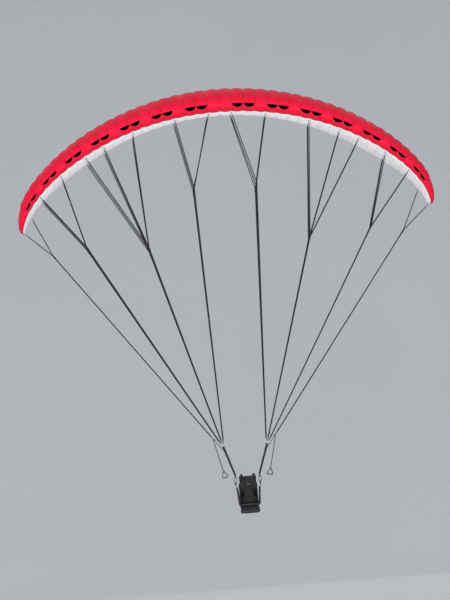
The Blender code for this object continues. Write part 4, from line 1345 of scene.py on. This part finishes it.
def hang_loop(side, hand):
    """Webbing from the carabiner down the outside of a side panel, turned a quarter on its way."""
    inner = CARABINER_WIRE + HANG_EYE_ROOM
    centre = Vector((hand * HANG[0], HANG_Y, depth(HANG[1])))
    work = bmesh.new()
    webbing_eye(work, centre - Z_AXIS * eye_off(inner), inner, HANG_EYE_WIDTH)
    off = hand * (WEBBING / 2 + FIT)
    path = [centre - Z_AXIS * (inner + WEBBING / 2), centre - Z_AXIS * 0.022,
            Vector((hand * (HANG[0] - 0.0005), HANG_Y, depth(HANG[1]) - 0.040))]
    for height, behind, share in ((-0.075, 0.002, 1.4), (-0.11, 0.006, 1.0), (-0.27, 0.024, 1.0),
                                  (-0.44, 0.045, 1.0)):
        path.append(at(panel_outer(hand, height) + off * share, -HARNESS_BACK - behind, height))
    turns = (0.0, 5.0, 30.0, 78.0, 90.0, 90.0, 90.0)
    across = [Vector((cos(radians(a)), sin(radians(a)) * hand, 0.0)) for a in turns]
    sweep(work, path, band(0.030, 0.0055), across=across)
    for drop in (0.014, 0.024):
        tack(work, centre - Z_AXIS * drop, X_AXIS, Z_AXIS, Y_AXIS * -0.0034, 0.020, 0.006)
    for height in (-0.12, -0.41):
        y = -HARNESS_BACK - 0.006 - 0.118 * (-height - 0.11)
        middle = at(panel_outer(hand, height) + off * 1.6, y, height)
        tack(work, middle, Y_AXIS, Z_AXIS, X_AXIS * (hand * 0.0022), 0.024, 0.02)
    piece(f"hang_webbing_{side}", work, "harness", WEBBING_CLOTH, (f"hang_loop_{side}",))


def chest_strap():
    """The strap across the chest and its clip, made of a socket, a tongue, two prongs and a button."""
    reach = SHOULDER_X - 0.0254
    y, z = CHEST
    bends = [at(-reach, y, z), at(-0.05, y - 0.0015, z - 0.002), at(0.05, y - 0.0015, z - 0.002),
             at(reach, y, z)]
    strap("chest_webbing", curve_through(bends), 0.025, 0.003, Z_AXIS, ("chest_strap",))
    middle = at(0.0, y - 0.0076, z)
    parts = [((0.0135, 0.0, 0.0), (0.032, 0.011, 0.036), 0.0035),
             ((-0.019, 0.0, 0.0), (0.020, 0.010, 0.034), 0.003)]
    for height in (-0.012, 0.012):
        parts += [((-0.004, 0.0, height), (0.018, 0.007, 0.006), 0.0018),
                  ((0.012, -0.0053, height * 0.9), (0.014, 0.002, 0.005), 0.0007)]
    parts.append(((0.012, -0.0055, 0.0), (0.012, 0.0016, 0.012), 0.0006))
    work = bmesh.new()
    for place, size, soft in parts:
        block(work, middle + Vector(place), size, soft)
    piece("chest_clip", work, "harness", PLASTIC, ("chest_buckle",))


def shoulder_strap(side, hand):
    """A padded shoulder strap with a strap and its buckle on its outside."""
    pad = curve_through([at(hand * SHOULDER_X, y, z) for y, z in SHOULDER_PATH], 5)
    strap(f"shoulder_pad_{side}", pad, 0.05, 0.009, X_AXIS, (f"shoulder_strap_{side}",), crown=0.003)
    outer = []
    for index, point in enumerate(pad):
        ahead = pad[min(index + 1, len(pad) - 1)] - pad[max(index - 1, 0)]
        outer.append(point - X_AXIS.cross(ahead).normalized() * 0.0088)
    front = outer[len(outer) // 3:-3]
    strap(f"shoulder_webbing_{side}", front, 0.024, 0.0024, X_AXIS, buckle=(0.52, (0.0, -1.0, 0.0)))


def leg_strap(side, hand):
    inner_face = PANEL_X + 0.19 * tan(radians(PANEL_SPLAY))
    bends = ((0.035, 0.0012), (0.055, 0.06), (0.11, 0.12), (0.16, 0.145), (inner_face - 0.0012, 0.15))
    path = curve_through([at(hand * x, -0.165, SEAT_TOP + z) for x, z in bends], 5)
    strap(f"leg_webbing_{side}", path, 0.030, 0.005, Y_AXIS, (f"leg_strap_{side}",),
          buckle=(0.45, (-hand * 0.7, 0.0, 0.7)))


def reserve_grip():
    height = -0.36
    bends = ((-0.045, 0.002, -0.002), (-0.036, 0.001, 0.0), (-0.015, 0.0, 0.0015), (0.015, 0.0, 0.0015),
             (0.036, 0.001, 0.0), (0.045, 0.002, -0.002))
    spots = [at(panel_outer(-1.0, height) - 0.0062 - off, -0.04 + y, height + z) for y, z, off in bends]
    strap("reserve_grip", curve_through(spots, 3), 0.034, 0.009, Z_AXIS, ("reserve_handle",), crown=0.0016,
          material=RED_WEBBING)


def speed_bar():
    """The bar under the seat with its grip, end caps and cords."""
    height = BAR_PIVOT[1] - BAR_DROP
    ahead = BAR_PIVOT[0]
    work = bmesh.new()
    tube = [(0.0, 0.006), (0.002, 0.009), (0.006, BAR_RADIUS)]
    tube += [(2 * BAR_HALF - place, radius) for place, radius in tube[::-1]]
    turned(work, at(-BAR_HALF, ahead, height), X_AXIS, tube, 24)
    piece("bar_tube", work, "bar", ALLOY, ("speed_bar",))
    work = bmesh.new()
    grip = [(0.0, 0.0102)]
    for k in range(22):
        grip += [(0.002 + 0.009 * k, 0.0118), (0.0085 + 0.009 * k, 0.0118), (0.0105 + 0.009 * k, 0.0109)]
    grip.append((0.202, 0.0102))
    turned(work, at(-0.101, ahead, height), X_AXIS, grip)
    cap = [(0.0, 0.0102), (0.001, 0.0112), (0.006, 0.0112), (0.0075, 0.009)]
    for _, hand in SIDES:
        turned(work, at(hand * (BAR_HALF - 0.006), ahead, height), X_AXIS * hand, cap)
    piece("bar_grip", work, "bar", PLASTIC)
    low_knot = [(0.0, 0.003), (0.002, 0.0058), (0.006, 0.0064), (0.010, 0.0056), (0.012, 0.003)]
    high_knot = [(0.0, 0.003), (0.002, 0.0052), (0.006, 0.0052), (0.008, 0.003)]
    for side, hand in SIDES:
        x = hand * CORD_X
        work = bmesh.new()
        top = at(x, *BAR_PIVOT)
        foot = at(x, ahead, height + BAR_RADIUS + FIT)
        cord = [top, *(top.lerp(foot, share) for share in (0.25, 0.5, 0.75)), foot]
        sweep(work, cord, disc(0.003, 8))
        ring_at(work, at(x, ahead, height), X_AXIS, BAR_RADIUS + 0.0012, 0.0022, 18, 6)
        turned(work, foot + Z_AXIS * 0.004, Z_AXIS, low_knot, 12)
        turned(work, top - Z_AXIS * 0.010, Z_AXIS, high_knot, 12)
        piece(f"bar_cord_{side}", work, "bar", BRAID, (f"speed_bar_cord_{side}",))


# Stage, lights and camera

FLOOR = -10.3            # just under the camera, which looks up from floor level
FLOOR_SIDES = 72
FLAT_RADIUS = 130.0
WALL_RADIUS = 50.0
CAMERA_DISTANCE = 70.0
CAMERA_YAW = -1.5
CAMERA_HEIGHT = -10.2006
CAMERA_ROLL = 4.435
LENS = 205.81
AIM = (-0.1831, 0.0, -4.3393)


def stage():
    """A pale floor that turns up into a round wall, far outside every view's camera."""
    work = bmesh.new()
    profile = [(20.0, 0.0), (FLAT_RADIUS, 0.0)]
    for k in range(1, 13):
        angle = pi / 2 * k / 12
        profile.append((FLAT_RADIUS + WALL_RADIUS * sin(angle), WALL_RADIUS * (1 - cos(angle))))
    profile.append((FLAT_RADIUS + WALL_RADIUS, WALL_RADIUS + 30.0))
    rings = [[work.verts.new((radius * c, radius * s, FLOOR + height)) for c, s in circle(FLOOR_SIDES)]
             for radius, height in profile]
    work.faces.new(rings[0])
    bridge(work, rings)
    floor = linked("studio_floor", new_mesh("studio_floor", work, 60.0))
    paint = Nodes("pale_floor", (0.70, 0.71, 0.73), 0.9)
    patches = paint.noise(paint.place(), 0.05)
    paint.shade((paint.ramp(patches, 0.3, 0.7), 0.97))
    floor.data.materials.append(paint.material)
    return floor


def area_light(name, place, target, size, power, unlit):
    """A soft light that leaves the unlit collection out."""
    data = bpy.data.lights.new(name, 'AREA')
    data.shape = 'RECTANGLE'
    data.size, data.size_y = size
    data.energy = power
    made = linked(name, data)
    made.location = place
    made.rotation_euler = (Vector(target) - Vector(place)).to_track_quat('-Z', 'Y').to_euler()
    made.visible_camera = False
    made.light_linking.receiver_collection = unlit


def lights(floor):
    """Soft lights on the paraglider; the floor has the world's even light alone."""
    world = bpy.data.worlds.new("studio")
    world.use_nodes = True
    sky = world.node_tree.nodes["Background"].inputs
    sky["Color"].default_value = (0.95, 0.97, 1.0, 1.0)
    sky["Strength"].default_value = 0.8
    bpy.context.scene.world = world
    bpy.context.scene.view_settings.view_transform = 'Standard'
    unlit = bpy.data.collections.new("unlit")
    unlit.objects.link(floor)
    unlit.collection_objects[0].light_linking.link_state = 'EXCLUDE'
    area_light("key", (-16.0, -30.0, 14.0), (0.0, 0.0, -1.0), (18.0, 18.0), 5500.0, unlit)
    area_light("front_fill", (10.0, -42.0, -3.0), (0.0, 0.0, -2.0), (26.0, 18.0), 2600.0, unlit)
    area_light("up_fill", (0.0, -8.0, FLOOR + 0.1), (0.0, -2.0, 0.0), (40.0, 34.0), 12500.0, unlit)


def camera():
    data = bpy.data.cameras.new("camera")
    data.lens = LENS
    data.clip_end = 1000.0
    made = linked("camera", data)
    yaw = radians(CAMERA_YAW)
    spot = Vector((CAMERA_DISTANCE * sin(yaw), -CAMERA_DISTANCE * cos(yaw), CAMERA_HEIGHT))
    turn = (Vector(AIM) - spot).to_track_quat('-Z', 'Y')
    made.rotation_mode = 'QUATERNION'
    made.rotation_quaternion = turn @ Quaternion(Z_AXIS, radians(-CAMERA_ROLL))
    made.location = spot
    bpy.context.scene.camera = made


camera()
lights(stage())
upper_skin, mouth_bindings, lower_skin = canopy()
ribs = cell_ribs()
binding = trailing_binding()
lines()
tabs = line_tabs()
tips = [tip_panel(side_name, side_hand) for side_name, side_hand in SIDES]
declare_cloth(upper_skin, lower_skin)
for side_name, side_hand in SIDES:
    for row_name, _, row_place in LINE_ROWS:
        rapid_link(row_name, side_name, side_hand, row_place)
    riser(side_name, side_hand)
    carabiner(side_name, side_hand)
    pulley(side_name, side_hand)
    brake(side_name, side_hand)
cushions()
chest_strap()
for side_name, side_hand in SIDES:
    shoulder_strap(side_name, side_hand)
    leg_strap(side_name, side_hand)
    hang_loop(side_name, side_hand)
reserve_grip()
speed_bar()
